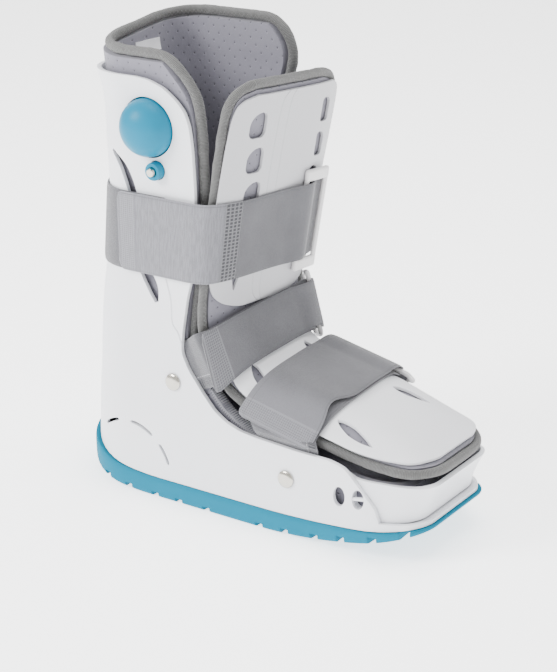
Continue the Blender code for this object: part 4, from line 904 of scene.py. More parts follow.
def rim_order(rows, columns):
    """Grid points along the edge of a sheet, once round."""
    top = [col for col in range(columns)]
    right = [row * columns + columns - 1 for row in range(1, rows)]
    bottom = [(rows - 1) * columns + col for col in range(columns - 2, -1, -1)]
    left = [row * columns for row in range(rows - 2, 0, -1)]
    return top + right + bottom + left


def sheet_piece(name, grid, thickness, centred=False):
    """Closed sheet with a map whose first axis runs along it and second across, in metres."""
    rows, columns = grid.shape[:2]
    thickness = np.broadcast_to(thickness, (rows, columns))[..., None]
    normals = grid_normals(grid)
    if centred:
        grid = grid + normals * thickness / 2
    inner = grid - normals * thickness
    along, across = lengths_along(grid, 0), lengths_along(grid, 1)
    place = np.stack(np.meshgrid(along, across, indexing="ij"), axis=2).reshape(-1, 2)
    vertices = np.concatenate([grid.reshape(-1, 3), inner.reshape(-1, 3)])
    offset = rows * columns
    faces = []
    for row in range(rows - 1):
        for col in range(columns - 1):
            quad = (row * columns + col, row * columns + col + 1,
                    (row + 1) * columns + col + 1, (row + 1) * columns + col)
            faces.append(quad)
            faces.append(tuple(offset + index for index in reversed(quad)))
    rim = rim_order(rows, columns)
    for index, here in enumerate(rim):
        after = rim[(index + 1) % len(rim)]
        faces.append((here, after, offset + after, offset + here))
    uvs = [place[index % offset] for face in faces for index in face]
    return new_piece(name, vertices, faces, uvs)


def tube_piece(name, path, radius, closed=False, sides=TUBE_SIDES):
    """Round tube along a path; its map runs along the tube and around it, in metres."""
    points = [Vector(point) for point in path]
    count = len(points)
    widths = np.broadcast_to(radius, (count,))
    across = None
    vertices = []
    along_length = [0.0]
    for index, point in enumerate(points):
        before = points[index - 1] if closed or index else points[0]
        after = points[(index + 1) % count] if closed or index < count - 1 else points[-1]
        along = (after - before).normalized()
        if across is None:
            across = along.orthogonal().normalized()
        across = (across - along * across.dot(along)).normalized()
        beside = along.cross(across)
        for side in range(sides):
            turn = 2 * pi * side / sides
            vertices.append(point + (across * cos(turn) + beside * sin(turn)) * widths[index])
        if index:
            along_length.append(along_length[-1] + (point - points[index - 1]).length)
    faces = []
    uvs = []
    step = (points[0] - points[-1]).length
    for index in range(count if closed else count - 1):
        after = (index + 1) % count
        here_u = along_length[index]
        after_u = along_length[after] if after else here_u + step
        for side in range(sides):
            beyond = (side + 1) % sides
            faces.append((index * sides + side, index * sides + beyond,
                          after * sides + beyond, after * sides + side))
            v_here, v_beyond = (2 * pi * widths[0] * k / sides for k in (side, side + 1))
            uvs += [(here_u, v_here), (here_u, v_beyond), (after_u, v_beyond), (after_u, v_here)]
    if not closed:
        faces += [tuple(range(sides)), tuple(range((count - 1) * sides, count * sides))]
        uvs += [(0.0, 0.0)] * (2 * sides)
    return new_piece(name, vertices, faces, uvs)


def vessel_piece(name, outer, inner):
    """Open-topped vessel from outer rings, bottom to top, and inner rings, top to floor."""
    rings = outer + inner
    count = len(rings[0])
    vertices = [point for ring in rings for point in ring]
    middle = rings[len(outer) // 2]
    around = [0.0]
    for index in range(count):
        around.append(around[-1] + (middle[(index + 1) % count] - middle[index]).length)
    faces = []
    uvs = []
    for ring in range(len(rings) - 1):
        for index in range(count):
            after = (index + 1) % count
            corners = ((ring, index, index), (ring, after, index + 1),
                       (ring + 1, after, index + 1), (ring + 1, index, index))
            faces.append(tuple(r * count + i for r, i, _ in corners))
            uvs += [(around[u], rings[r][i].z) for r, i, u in corners]
    for first in (0, (len(rings) - 1) * count):
        for index in range(count // 2 - 1):
            last = first + count - 1
            face = (first + index, first + index + 1, last - index - 1, last - index)
            faces.append(face)
            uvs += [tuple(vertices[corner].xy) for corner in face]
    return new_piece(name, vertices, faces, uvs)


# Shapes shared by the flap and the straps


def flap_line():
    """Distance along the flap and its rows: x, z, tilt and the drops of both sides."""
    rows = np.array([(along * HALF_LENGTH, height * SHELL_HEIGHT, tilt,
                      near * HALF_WIDTH, far * HALF_WIDTH)
                     for along, height, tilt, near, far in FLAP])
    return distances(rows[:, :2]), rows


FLAP_DISTANCES, FLAP_ROWS = flap_line()
FLAP_STEP = 0.002
END_SHARE = 0.85


def flap_face(share, y):
    """Points of the flap's outer face at shares of its length."""
    share, y = np.broadcast_arrays(np.asarray(share, float), np.asarray(y, float))
    at = share * FLAP_DISTANCES[-1]
    here = smooth_read(FLAP_DISTANCES, FLAP_ROWS, at)
    along = (smooth_read(FLAP_DISTANCES, FLAP_ROWS, at + FLAP_STEP)
             - smooth_read(FLAP_DISTANCES, FLAP_ROWS, at - FLAP_STEP))[..., :2]
    along = along / np.linalg.norm(along, axis=-1, keepdims=True)
    drop = np.where(y < 0, here[..., 3], here[..., 4])
    fall = here[..., 2] * y - drop * np.minimum(np.abs(y) / (PAD_WIDTH / 2), 1.15) ** FLAP_EXPONENT
    return np.stack([here[..., 0] - along[..., 1] * fall, y,
                     here[..., 1] + along[..., 0] * fall], axis=-1)


def flap_point(share, y, depth=0.0):
    """Points sunk below the flap's outer face by a depth, or lifted off it where negative."""
    share, y = np.asarray(share, float), np.asarray(y, float)
    down = flap_face(share + 0.006, y) - flap_face(share - 0.006, y)
    across = flap_face(share, y + 0.002) - flap_face(share, y - 0.002)
    normal = np.cross(down, across)
    normal = normal / np.linalg.norm(normal, axis=-1, keepdims=True)
    return flap_face(share, y) - normal * np.asarray(depth)[..., None]


def flap_grid(outline, width, depth, rows, columns, end_round):
    """Grid of points of the flap inside an outline, its lower end rounded with a radius."""
    outline = curve_rows(outline, rows)
    to_end = (outline[-1, 0] - outline[:, 0]) * FLAP_DISTANCES[-1]
    near_end = np.clip(1 - to_end / end_round, 0, 1)
    outline[:, 2] -= end_round * (1 - np.sqrt(1 - near_end ** 2)) / (width / 2) * END_SHARE
    spread = np.linspace(-1, 1, columns)
    spread = np.sign(spread) * np.abs(spread) ** GRID_BIAS
    share = np.repeat(outline[:, :1], columns, axis=1)
    y = (outline[:, 1:2] + outline[:, 2:3] * spread[None, :]) * width / 2
    return flap_point(share, y, depth)


def curve_rows(table, rows):
    """Table read smoothly at more rows, closer together near both of its ends."""
    table = np.array(table, float)
    places = np.arange(len(table), dtype=float)
    return smooth_read(places, table, np.linspace(0, places[-1], rows))


def rim_distance(grid):
    """Distance of each grid point to the nearest edge of the sheet."""
    rows, columns = grid.shape[:2]
    along = np.concatenate([np.zeros((1, columns)), np.cumsum(np.linalg.norm(
        np.diff(grid, axis=0), axis=2), axis=0)])
    across = np.concatenate([np.zeros((rows, 1)), np.cumsum(np.linalg.norm(
        np.diff(grid, axis=1), axis=2), axis=1)], axis=1)
    return np.minimum(np.minimum(along, along[-1:] - along), np.minimum(across, across[:, -1:] - across))


def rounded_thickness(grid, thickness, edge_share, reach):
    """Thickness that falls off in a round towards the edge."""
    near = np.clip(rim_distance(grid) / reach, 0, 1)
    return thickness * (edge_share + (1 - edge_share) * np.sqrt(1 - (1 - near) ** 2))


def uneven(points, size, depth):
    """Gentle hand-made unevenness at each point."""
    return depth * np.array([noise(Vector(point) * (1 / size)) for point in points])


def side_place(place):
    """Place on the shell's side in metres."""
    return place[0] * HALF_LENGTH, place[1] * SHELL_HEIGHT


def bore(place, radius, y_end, stretch=1.0, steps=24):
    """Closed cutter for a round or upright oval hole, from the near side to y_end."""
    x, z = side_place(place)
    turns = [2 * pi * step / steps for step in range(steps)]
    outline = [(x + radius * cos(turn), z + radius * stretch * sin(turn)) for turn in turns]
    return prism_between(outline, outline, -BOOT_WIDTH, y_end)


def side_wall(height, depth):
    """Half width of the shell's side at a height, sunk by a depth."""
    return section(height)[1] - depth


def wall_normal(height):
    """Outward normal of the near wall at a height."""
    step = 0.008
    slope = (section(height + step)[1] - section(height - step)[1]) / (2 * step)
    return Vector((0, -1, -slope)).normalized()


def wall_seat(place, side=-1):
    """Point on the shell's outer face and the way out from it."""
    x, z = side_place(place)
    outwards = wall_normal(z)
    outwards.y *= -side
    return Vector((x, side * side_wall(z, 0.0), z)), outwards


# Sole, shell and bumper


# How far the sole stands out at the heel, the sides and the toe
SOLE_OVERHANG = (0.0035, 0.001, 0.002)
# Sole's side above its rounded lower edge: inset and share of its height
SOLE_SIDE = ((-0.0003, 0.45), (-0.0004, 0.70), (-0.0002, 0.93), (0.0005, 1.0))
SOLE_ROUND = (0.30, 0.20)
SOLE_ROUND_STEPS = 5
TREAD_COUNT = 13
TREAD_SKEW = 0.10
TREAD_INNER_END = 0.62
SOLE_EDGE = 0.0005


def build_sole():
    """Rocker sole with a rounded lower edge, a raised heel cup and tread notches."""
    top_share = SECTIONS[0][0]
    outline = body_row(top_share)
    back, half, corner, front = section(top_share * SHELL_HEIGHT)
    profile = []
    for step in range(SOLE_ROUND_STEPS + 1):
        turn = step / SOLE_ROUND_STEPS * pi / 2
        profile.append((TREAD_INSET * SOLE_ROUND[0] * (1 - sin(turn)), SOLE_ROUND[1] * (1 - cos(turn))))
    heel_out, side_out, toe_out = SOLE_OVERHANG
    rings = []
    for inset, share in profile + list(SOLE_SIDE):
        ring = mirrored_ring(half_outline(back + heel_out, half + side_out, corner, front + toe_out, inset))
        rings.append([Vector((x, y, ground(x) + share * (border(over.x) - CLEARANCE - ground(x))))
                      for (x, y), over in zip(ring, outline)])
    sole = vessel_piece("sole_body", rings, [])
    cutters = []
    pitch = SOLE_LENGTH / TREAD_COUNT
    for index in range(TREAD_COUNT):
        if index == TREAD_COUNT // 2:
            continue
        middle = -HALF_LENGTH + (index + 0.5) * pitch
        skew = TREAD_SKEW * pitch * (1 if index % 2 else -1)
        top = max(ground(middle - pitch / 4), ground(middle + pitch / 4)) + TREAD_DEPTH
        near = [(middle - TREAD_NOTCH / 2, -0.02), (middle + TREAD_NOTCH / 2, -0.02),
                (middle + TREAD_NOTCH / 2, top), (middle - TREAD_NOTCH / 2, top)]
        far = [(x + skew, z) for x, z in near]
        cutters.append(prism_between(near, far, -HALF_WIDTH - 0.01, -HALF_WIDTH * TREAD_INNER_END))
        cutters.append(prism_between(near, far, HALF_WIDTH * TREAD_INNER_END, HALF_WIDTH + 0.01))
    cut_away(sole, cutters)
    soften_edges(sole, SOLE_EDGE, 2, 50)
    return finish_piece(sole, "sole_rubber", 40)


SHELL_ROWS = 60
SHELL_TOP = SECTIONS[-2][0]
SHELL_EDGE_ROUND = 0.0007
ROW_CROWDING = 1.25
FRONT_EDGE_STEP = 0.0015
FRONT_EDGE_EASE = 5


def body_shares(top, count):
    """Shares of the shell height, closer together low down where the body turns in."""
    low = SECTIONS[0][0]
    return [low + (top - low) * (step / count) ** ROW_CROWDING for step in range(count + 1)]


def shell_front():
    """Smooth front edge of the shell seen from the side, run on above the toe."""
    edge = [(x * HALF_LENGTH, z * SHELL_HEIGHT) for x, z in SHELL_EDGE]
    lip = border(HALF_LENGTH * 0.85) + SHELL_LIP
    edge = edge + [(0.80 * HALF_LENGTH, lip)]
    smooth = [tuple(point) for point in eased(even_steps(edge, FRONT_EDGE_STEP), FRONT_EDGE_EASE)]
    return smooth + [(2 * HALF_LENGTH, lip + 0.004)]


def build_shell():
    """Rigid shell: floor, heel cup, sides and the back of the shaft."""
    shares = body_shares(SHELL_TOP, SHELL_ROWS)
    outer = [body_row(share) for share in shares]
    inner = [body_row(share, SHELL_WALL, SHELL_WALL) for share in reversed(shares)]
    shell = vessel_piece("shell_body", outer, inner)
    edge = shell_front()
    high = 2 * SHELL_HEIGHT
    outline = [(edge[0][0], high)] + edge + [(2 * HALF_LENGTH, high)]
    cut_away(shell, [prism_between(outline, outline, -BOOT_WIDTH, BOOT_WIDTH)] + shell_openings())
    soften_edges(shell, SHELL_EDGE_ROUND, 3, 48)
    return finish_piece(shell, "shell_plastic", 50)


def shell_openings():
    """Cutters for the pump, valve, rivets, toe slots, heel slits and the rear slots."""
    cutters = [bore(BULB_PLACE, BULB_RADIUS + 3 * CLEARANCE, 0.0, steps=48),
               bore(VALVE_PLACE, VALVE_RADIUS + 2 * CLEARANCE, 0.0, steps=48)]
    cutters += [bore(place, RIVET_HOLE, BOOT_WIDTH) for place in (ANKLE_RIVET, TOE_RIVET)]
    cutters += toe_slot_cutters()
    for slit in [crescent_outline(span) for span in HEEL_CRESCENT_SPANS] + [rear_slot_outline()]:
        cutters.append(prism_between(slit, slit, -BOOT_WIDTH, BOOT_WIDTH))
    return cutters


def toe_slot_cutters():
    """Cutters for the two oval slots near the toe, through both sides."""
    width, height = TOE_SLOT_SIZE
    return [bore(place, width / 2, BOOT_WIDTH, height / width) for place in TOE_SLOTS]


CRESCENT_POINTS = 14


def crescent_outline(span):
    """Thin slit along the heel crescent between two angles in degrees, with round ends."""
    centre = side_place(HEEL_CRESCENT_CENTRE)
    angles = np.radians(np.linspace(span[0], span[1], CRESCENT_POINTS))
    places = np.arange(CRESCENT_POINTS)
    ends = np.clip(np.minimum(places, places[::-1]) / 2, 0, 1)
    half = HEEL_CRESCENT_SLIT / 2 * np.sqrt(1 - (1 - ends) ** 2) + 0.0001
    radii = np.concatenate([HEEL_CRESCENT_RADIUS + half, (HEEL_CRESCENT_RADIUS - half)[::-1]])
    turns = np.concatenate([angles, angles[::-1]])
    return [(centre[0] + radius * cos(turn), centre[1] + radius * sin(turn))
            for radius, turn in zip(radii, turns)]


def rear_slot_outline():
    """Long curved slot behind the shaft strap, its width from the table's last column."""
    table = curve_rows(REAR_SLOT, 40)
    line = np.array([side_place(row[:2]) for row in table])
    along = np.gradient(line, axis=0)
    along /= np.linalg.norm(along, axis=1, keepdims=True)
    across = np.stack([along[:, 1], -along[:, 0]], axis=1)
    width = np.clip(table[:, 2:3], 0.1, 1.3) * REAR_SLOT_WIDTH / 2
    return [tuple(p) for p in line + across * width] + [tuple(p) for p in (line - across * width)[::-1]]


BUMPER_ROWS = 19
BUMPER_COLUMNS = 110
BUMPER_EDGE = 0.0011
# Bumper along the boot, as shares of half length: its end, and where its end rise and lean run out
BUMPER_FROM = 0.60
BUMPER_END_RUN = 0.07
BUMPER_LEAN_RUN = 0.12
BUMPER_LEAN_POWER = 1.5
BUMPER_WIDENING = 0.25


def build_bumper():
    """Wall around the toe that stands inside the shell's lip and leans out at its top."""
    wall_inset = SHELL_WALL + CLEARANCE
    start = BUMPER_FROM * HALF_LENGTH
    rows = []
    for share in np.linspace(0, 1, BUMPER_ROWS):
        level = SOLE_THICKNESS + share * (BUMPER_TOP + BUMPER_END_RISE - SOLE_THICKNESS)
        back, half, corner, front = section(level)
        front = section(SECTIONS[1][0] * SHELL_HEIGHT)[3]
        near = half_outline(back, half, corner, front, wall_inset)
        near = [(start, near[-CORNER_STEPS - 2][1])] + [p for p in near if p[0] > start + 0.001]
        row = []
        for x, y in mirrored_ring(near):
            low = border(x) + SHELL_WALL + 3 * CLEARANCE
            end = max(0.0, 1 - (x - start) / (BUMPER_END_RUN * HALF_LENGTH))
            high = BUMPER_TOP + BUMPER_END_RISE * end
            ahead = (x - BUMPER_LEAN_FROM * HALF_LENGTH) / (BUMPER_LEAN_RUN * HALF_LENGTH)
            out = BUMPER_LEAN * share ** BUMPER_LEAN_POWER * min(1.0, max(0.0, ahead))
            row.append((x + out, y * (1 + BUMPER_WIDENING * out / HALF_WIDTH),
                        low + share * (high - low)))
        rows.append(resampled(row, BUMPER_COLUMNS))
    bumper = sheet_piece("toe_wall", np.array(rows[::-1]), BUMPER_WALL)
    cut_away(bumper, toe_slot_cutters())
    soften_edges(bumper, BUMPER_EDGE, 4, 55)
    return finish_piece(bumper, "shell_plastic", 50)


SLOT_BAR_RADIUS = 0.0013
SLOT_BAR_SPARE = 0.0006
SLOT_BAR_DEPTH = 0.6
SLOT_BAR_TILT = 80


def build_slot_bars():
    """Small moulded bar across the front toe slot on each side."""
    x, z = side_place(TOE_SLOTS[1])
    bars = []
    for word, side in (("near", -1), ("far", 1)):
        y = side * (side_wall(z, 0.0) - SHELL_WALL * SLOT_BAR_DEPTH)
        reach = TOE_SLOT_SIZE[0] / 2 + SLOT_BAR_SPARE
        bpy.ops.object.select_all(action="DESELECT")
        bpy.ops.mesh.primitive_cylinder_add(vertices=24, radius=SLOT_BAR_RADIUS, depth=2 * reach)
        bar = bpy.context.object
        bar.name = "slot_bar_" + word
        bar.data.transform(Matrix.Translation((x, y, z)) @ Matrix.Rotation(radians(SLOT_BAR_TILT), 4, "Y"))
        bar.select_set(False)
        bars.append(finish_piece(bar, "shell_plastic", 50))
    return bars


RIB_LINE = ((-0.410, 0.560), (-0.372, 0.495), (-0.365, 0.441), (-0.330, 0.417), (-0.309, 0.393))
RIB_RADIUS = 0.0011


def build_side_rib():
    """Raised line on the near side of the shell below the shaft strap."""
    line = []
    for along, height in curve_rows(RIB_LINE, 40):
        x, z = side_place((along, height))
        line.append((x, -side_wall(z, 0.0) + RIB_RADIUS * 0.35, z))
    rib = tube_piece("shell_side_rib", np.array(line), RIB_RADIUS, sides=12)
    return finish_piece(rib, "shell_plastic", 80)


# Soft parts


LINER_WIDE_FROM = 0.30
LINER_TILT_FROM = 1.05


def liner_inset(share):
    """Liner clearance to the shell: it also clears the bumper low down."""
    low = SHELL_WALL + BUMPER_WALL + 2 * CLEARANCE + SOFT_CLEARANCE
    high = SHELL_WALL + STRAP_CHANNEL
    return float(np.interp(share, (BODY_REFERENCE, LINER_WIDE_FROM), (low, high)))


def liner_row(share, extra, lift):
    """Ring of the liner at a share of the shell height; its top rim is tilted."""
    ring = body_row(share, liner_inset(share) + extra, lift, front_inset=0.004)
    if share > LINER_TILT_FROM:
        for point in ring:
            point.z += LINER_TILT * point.y / HALF_WIDTH
    return ring


def liner_edges():
    """Near and far front edges of the liner seen from the side."""
    near = []
    far = []
    for along, height, far_along, far_height in LINER_EDGE:
        near.append((along * HALF_LENGTH, height * SHELL_HEIGHT))
        far.append(((along + far_along) * HALF_LENGTH, (height + far_height) * SHELL_HEIGHT))
    return near, far


LINER_EDGE_POINTS = 170
LINER_EASE = 24


def build_liner():
    """Foam bootie with a floor, a heel and a calf wrap, open along the front."""
    top = 1.0 + LINER_RISE / SHELL_HEIGHT
    shares = body_shares(SECTIONS[-2][0], 48) + [top]
    floor = SHELL_WALL + CLEARANCE
    outer = [liner_row(share, 0.0, floor) for share in shares]
    inner = [liner_row(share, LINER_THICKNESS, floor + LINER_THICKNESS / 2)
             for share in reversed(shares)]
    liner = vessel_piece("liner_body", outer, inner)
    near, far = (eased(resampled(curve_through(edge, 0.004), LINER_EDGE_POINTS), LINER_EASE)
                 for edge in liner_edges())
    high = 2 * SHELL_HEIGHT
    near_outline = [(near[0][0], high)] + [tuple(p) for p in near] + [(near[-1][0], high)]
    far_outline = [(far[0][0], high)] + [tuple(p) for p in far] + [(far[-1][0], high)]
    cut_away(liner, [prism_between(near_outline, far_outline, -HALF_WIDTH, HALF_WIDTH)])
    soften_edges(liner, 0.0012, 3, 50)
    finish_piece(liner, "liner_cloth", 60)
    return liner


def edge_path(side, reach, first=LINER_BINDING_FROM, last=LINER_BINDING_TO, corner=True):
    """Points just outside a liner edge, bottom to top, on the wall's middle."""
    near, far = (np.array(edge) for edge in liner_edges())
    path = []
    for index in range(last, first - 1, -1):
        z = near[index][1] if side < 0 else far[index][1]
        half = section(z)[1] - liner_inset(z / SHELL_HEIGHT) - LINER_THICKNESS / 2
        share = 0.5 + side * half / (2 * HALF_WIDTH)
        line = near + (far - near) * share
        along = unit(line[index - 1] - line[index + 1])
        x, z = line[index] + np.array([along[1], -along[0]]) * reach
        path.append((x, side * half, z))
    if corner:
        high = SHELL_HEIGHT + LINER_RISE + LINER_TILT * side * half / HALF_WIDTH + reach
        path.append((line[first][0] - 0.001, side * half, high))
    return path


TAPE_EASE = 40
TAPE_STEP = 0.0012
# Unevenness of the tape: size, and depth as a share of its radius
TAPE_WAVES = (0.011, 0.10)
TAPE_WRINKLES = (0.004, 0.06)


def tape_piece(name, path, radius, closed=False):
    """Binding tape rolled over an edge, with small wrinkles along it."""
    path = even_steps(np.concatenate([path, path[:1]]) if closed else path, TAPE_STEP)
    if closed:
        path = path[:-1]
    path = eased(path, TAPE_EASE, closed)
    wrinkles = uneven(path, *TAPE_WAVES) + uneven(path + 1.0, *TAPE_WRINKLES)
    widths = radius * (1 + wrinkles)
    return tube_piece(name, path, widths, closed)


def build_liner_tape():
    """Tape rolled over the liner's free edge, from the ankle over the top."""
    reach = LINER_BINDING_RADIUS + SOFT_CLEARANCE
    near_path = edge_path(-1, reach)
    far_path = edge_path(1, reach)
    ring = liner_row(1.0 + LINER_RISE / SHELL_HEIGHT, LINER_THICKNESS / 2, 0.0)
    half = len(ring) // 2
    order = ring[half - 1::-1] + ring[:half - 1:-1]
    top = []
    for point in order:
        limit = near_path[-1][0] if point.y <= 0 else far_path[-1][0]
        if point.x < limit - 0.004:
            top.append((point.x, point.y, point.z + reach))
    path = np.array(near_path + top + far_path[::-1])
    tape = tape_piece("liner_edge_tape", path, LINER_BINDING_RADIUS)
    return finish_piece(tape, "edge_tape", 70)


OVERLOCK_PITCH = 0.0017
OVERLOCK_REACH = 0.0024
OVERLOCK_LIFT = 0.0004
OVERLOCK_FROM = 13
OVERLOCK_TO = 19
THREAD_RADIUS = 0.00026


def build_overlock():
    """Overlocked thread that loops over the liner's low front edge on the near side."""
    edge = np.array(edge_path(-1, 0.0005, OVERLOCK_FROM, OVERLOCK_TO, corner=False))
    line = curve_through(edge, OVERLOCK_PITCH)
    path = []
    for index, point in enumerate(line[:-1]):
        forward = unit(line[index + 1] - point)
        down = unit(np.array((forward[2], 0.0, -forward[0])))
        if down[2] > 0:
            down = -down
        wall = np.array((0, LINER_THICKNESS / 2 + OVERLOCK_LIFT, 0))
        outside, inside = point - wall, point + wall
        quarter = forward * OVERLOCK_PITCH / 4
        path += [outside + down * OVERLOCK_REACH, outside + quarter, point + 2 * quarter,
                 inside + 2 * quarter, inside + down * OVERLOCK_REACH + 3 * quarter, inside + 3 * quarter,
                 point + 3 * quarter, outside + 3 * quarter]
    thread = tube_piece("liner_edge_thread", np.array(path), THREAD_RADIUS, sides=6)
    return finish_piece(thread, "thread", 80)


PAD_SAG = 0.0003
PAD_SAG_SIZE = 0.017
PAD_ROUND_REACH = 0.008


def build_pad():
    """Padded front flap from the shin to the toe, and the tape around its edge."""
    grid = flap_grid(PAD_OUTLINE, PAD_WIDTH, PANEL_WALL + SOFT_CLEARANCE, 150, 61, 0.014)
    rows, columns = grid.shape[:2]
    normals = grid_normals(grid)
    middle = grid - normals * PAD_BINDING_RADIUS
    order = rim_order(rows, columns)
    sag = PAD_SAG + uneven(grid.reshape(-1, 3), PAD_SAG_SIZE, PAD_SAG).reshape(rows, columns)
    thickness = rounded_thickness(grid, PAD_THICKNESS, PAD_EDGE_SHARE, PAD_ROUND_REACH)
    pad = sheet_piece("front_flap", grid - normals * sag[..., None], thickness)
    finish_piece(pad, "pad_cloth", 60)
    rim = middle.reshape(-1, 3)[order]
    rim_normals = normals.reshape(-1, 3)[order]
    along = np.roll(rim, -1, axis=0) - np.roll(rim, 1, axis=0)
    outwards = np.cross(rim_normals, along)
    outwards /= np.linalg.norm(outwards, axis=1, keepdims=True)
    path = rim + outwards * (PAD_BINDING_RADIUS + CLEARANCE)
    tape = tape_piece("front_flap_tape", path, PAD_BINDING_RADIUS, closed=True)
    finish_piece(tape, "edge_tape", 70)
    return pad, tape


# Front panels


def build_shin_panel():
    """Plastic shin plate with a column of windows near each side."""
    grid = flap_grid(SHIN_PANEL_OUTLINE, SHIN_PANEL_WIDTH, 0.0, 90, 61, 0.010)
    panel = sheet_piece("shin_plate", grid, PANEL_WALL)
    outlines = []
    for near, far, height in SHIN_WINDOWS:
        for side, across in ((1, near), (-1, far)):
            middle = (across * PAD_WIDTH / 2, height * SHELL_HEIGHT)
            width = SHIN_WINDOW_WIDTH * (1 if side > 0 else SHIN_FAR_WINDOW)
            outlines.append(rounded_window(middle, width, SHIN_WINDOW_HEIGHT, side))
    y, z = SHIN_LOW_WINDOW[0] * PAD_WIDTH / 2, SHIN_LOW_WINDOW[1] * SHELL_HEIGHT
    half, rise = SHIN_WINDOW_WIDTH * LOW_WINDOW_SIZE[0], SHIN_WINDOW_HEIGHT * LOW_WINDOW_SIZE[1]
    corners = [(y + half * cos(turn), z + rise * sin(turn)) for turn in (pi / 6, 5 * pi / 6, 3 * pi / 2)]
    outlines.append(rounded_corners(corners, LOW_WINDOW_ROUND))
    cutters = [prism([(-HALF_WIDTH, y, z) for y, z in outline], [(HALF_WIDTH, y, z) for y, z in outline])
               for outline in outlines]
    cut_away(panel, cutters)
    soften_edges(panel, 0.0005, 2, 50)
    # Its finish is the panels' white plastic darkened as painted shade.
    return finish_piece(panel, "shaded_shin_plastic", 45)


# Corners of a window: quarter turn and radius as a share of its width
WINDOW_CORNERS = ((0, 0.32), (1, 0.62), (2, 0.30), (3, 0.30))


def rounded_window(middle, width, height, side):
    """Window outline with a large radius on its upper inner corner."""
    points = []
    for turn, radius in WINDOW_CORNERS:
        corner = radius * width
        sign_y, sign_z = ((1, 1), (-1, 1), (-1, -1), (1, -1))[turn]
        centre_y = sign_y * (width / 2 - corner)
        centre_z = middle[1] + sign_z * (height / 2 - corner)
        for step in range(9):
            angle = turn * pi / 2 + step / 8 * pi / 2
            points.append((middle[0] + side * (centre_y + corner * cos(angle)),
                           centre_z + corner * sin(angle)))
    return points


def bend(start, corner, end, steps):
    """Rounded corner between two points."""
    shares = [step / steps for step in range(steps + 1)]
    return [start * (1 - t) ** 2 + 2 * corner * t * (1 - t) + end * t * t for t in shares]


def rounded_corners(corners, share):
    """Outline through corners, each rounded over a share of its sides."""
    outline = []
    count = len(corners)
    for index in range(count):
        before, here, after = (np.array(corners[(index + k) % count]) for k in (-1, 0, 1))
        outline += bend(here + (before - here) * share, here, here + (after - here) * share, 8)
    return outline


def build_instep_panel():
    """Plastic plate over the instep and the toes with pointed windows."""
    grid = flap_grid(INSTEP_PANEL_OUTLINE, INSTEP_PANEL_WIDTH, 0.0, 110, 61, 0.013)
    panel = sheet_piece("instep_plate", grid, PANEL_WALL)
    high = Vector((0, 0, SHELL_HEIGHT))
    cutters = []
    for row in INSTEP_WINDOWS:
        start = Vector((row[0] * HALF_LENGTH, row[1] * HALF_WIDTH, 0))
        end = Vector((row[2] * HALF_LENGTH, row[3] * HALF_WIDTH, 0))
        outline = lens_outline(start, end, INSTEP_WINDOW_WIDTH)
        cutters.append(prism(outline, [point + high for point in outline]))
    cut_away(panel, cutters)
    soften_edges(panel, 0.0005, 2, 50)
    return finish_piece(panel, "panel_plastic", 45)


# Width of a pointed window along its length, as shares of both
LENS_PLACES = (0.0, 0.12, 0.4, 0.75, 1.0)
LENS_WIDTHS = (0.0, 0.62, 1.0, 0.68, 0.0)
LENS_SKEW = 0.76


def lens_outline(start, end, width):
    """Pointed lens between two points, fullest at two fifths of its length."""
    along = end - start
    across = Vector((-along.y, along.x, 0)).normalized() * width / 2
    shares = np.linspace(0, 1, 20)
    wides = (np.sin(np.pi * shares ** LENS_SKEW) + np.interp(shares, LENS_PLACES, LENS_WIDTHS)) / 2
    right = [start + along * share + across * wide for share, wide in zip(shares, wides)]
    left = [start + along * share - across * wide for share, wide in zip(shares[-2:0:-1], wides[-2:0:-1])]
    return right + left


# Straps and rings


# Edges of a strap's faces as shares of its width, and how thin it is at its two outer edges
STRAP_COLUMNS_ACROSS = (0.0, 0.03, 0.09, 0.22, 0.36, 0.5, 0.64, 0.78, 0.91, 0.97, 1.0)
STRAP_EDGE_THICKNESS = (0.45, 0.85, 1.0)
STRAP_STEP = 0.0010
STRAP_EASE = 4
STRAP_CORNER = 0.005


def strap_piece(name, lines, finish):
    """Strap through pairs of edge points, lower then upper; its first end has round corners."""
    pairs = np.array([np.concatenate([np.array(lower, float), np.array(upper, float)])
                      for lower, upper in lines])
    middle = (pairs[:, :3] + pairs[:, 3:]) / 2
    lengths = distances(middle)
    count = int(round(lengths[-1] / STRAP_STEP)) + 1
    at = np.linspace(0, lengths[-1], count)
    pairs = np.stack([np.interp(at, lengths, pairs[:, axis]) for axis in range(6)], axis=1)
    pairs = eased(pairs, STRAP_EASE)
    lower, upper = pairs[:, :3], pairs[:, 3:]
    width = float(np.mean(np.linalg.norm(upper - lower, axis=1)))
    rows = []
    for to_end, foot, head in zip(at, lower, upper):
        rest = 1 - min(1.0, to_end / STRAP_CORNER)
        narrow = STRAP_CORNER * (1 - np.sqrt(1 - rest ** 2)) / width
        shares = narrow + (1 - 2 * narrow) * np.array(STRAP_COLUMNS_ACROSS)
        rows.append(foot + (head - foot) * shares[:, None])
    places = np.arange(len(STRAP_COLUMNS_ACROSS))
    edge = np.interp(np.minimum(places, places[::-1]), (0, 1, 2), STRAP_EDGE_THICKNESS)
    strap = sheet_piece(name, np.array(rows), STRAP_THICKNESS * edge[None, :], centred=True)
    finish_piece(strap, finish, 60)
    return strap


def fold(lower, upper, along, outwards):
    """Half turn around a ring bar that runs from the lower to the upper point."""
    radius = RING_BAR_RADIUS + CLEARANCE + STRAP_THICKNESS / 2
    lines = []
    for step in range(13):
        turn = (-0.5 + step / 12) * pi
        shift = (np.array(along) * cos(turn) + np.array(outwards) * sin(turn)) * radius
        lines.append((np.array(lower) + shift, np.array(upper) + shift))
    return lines


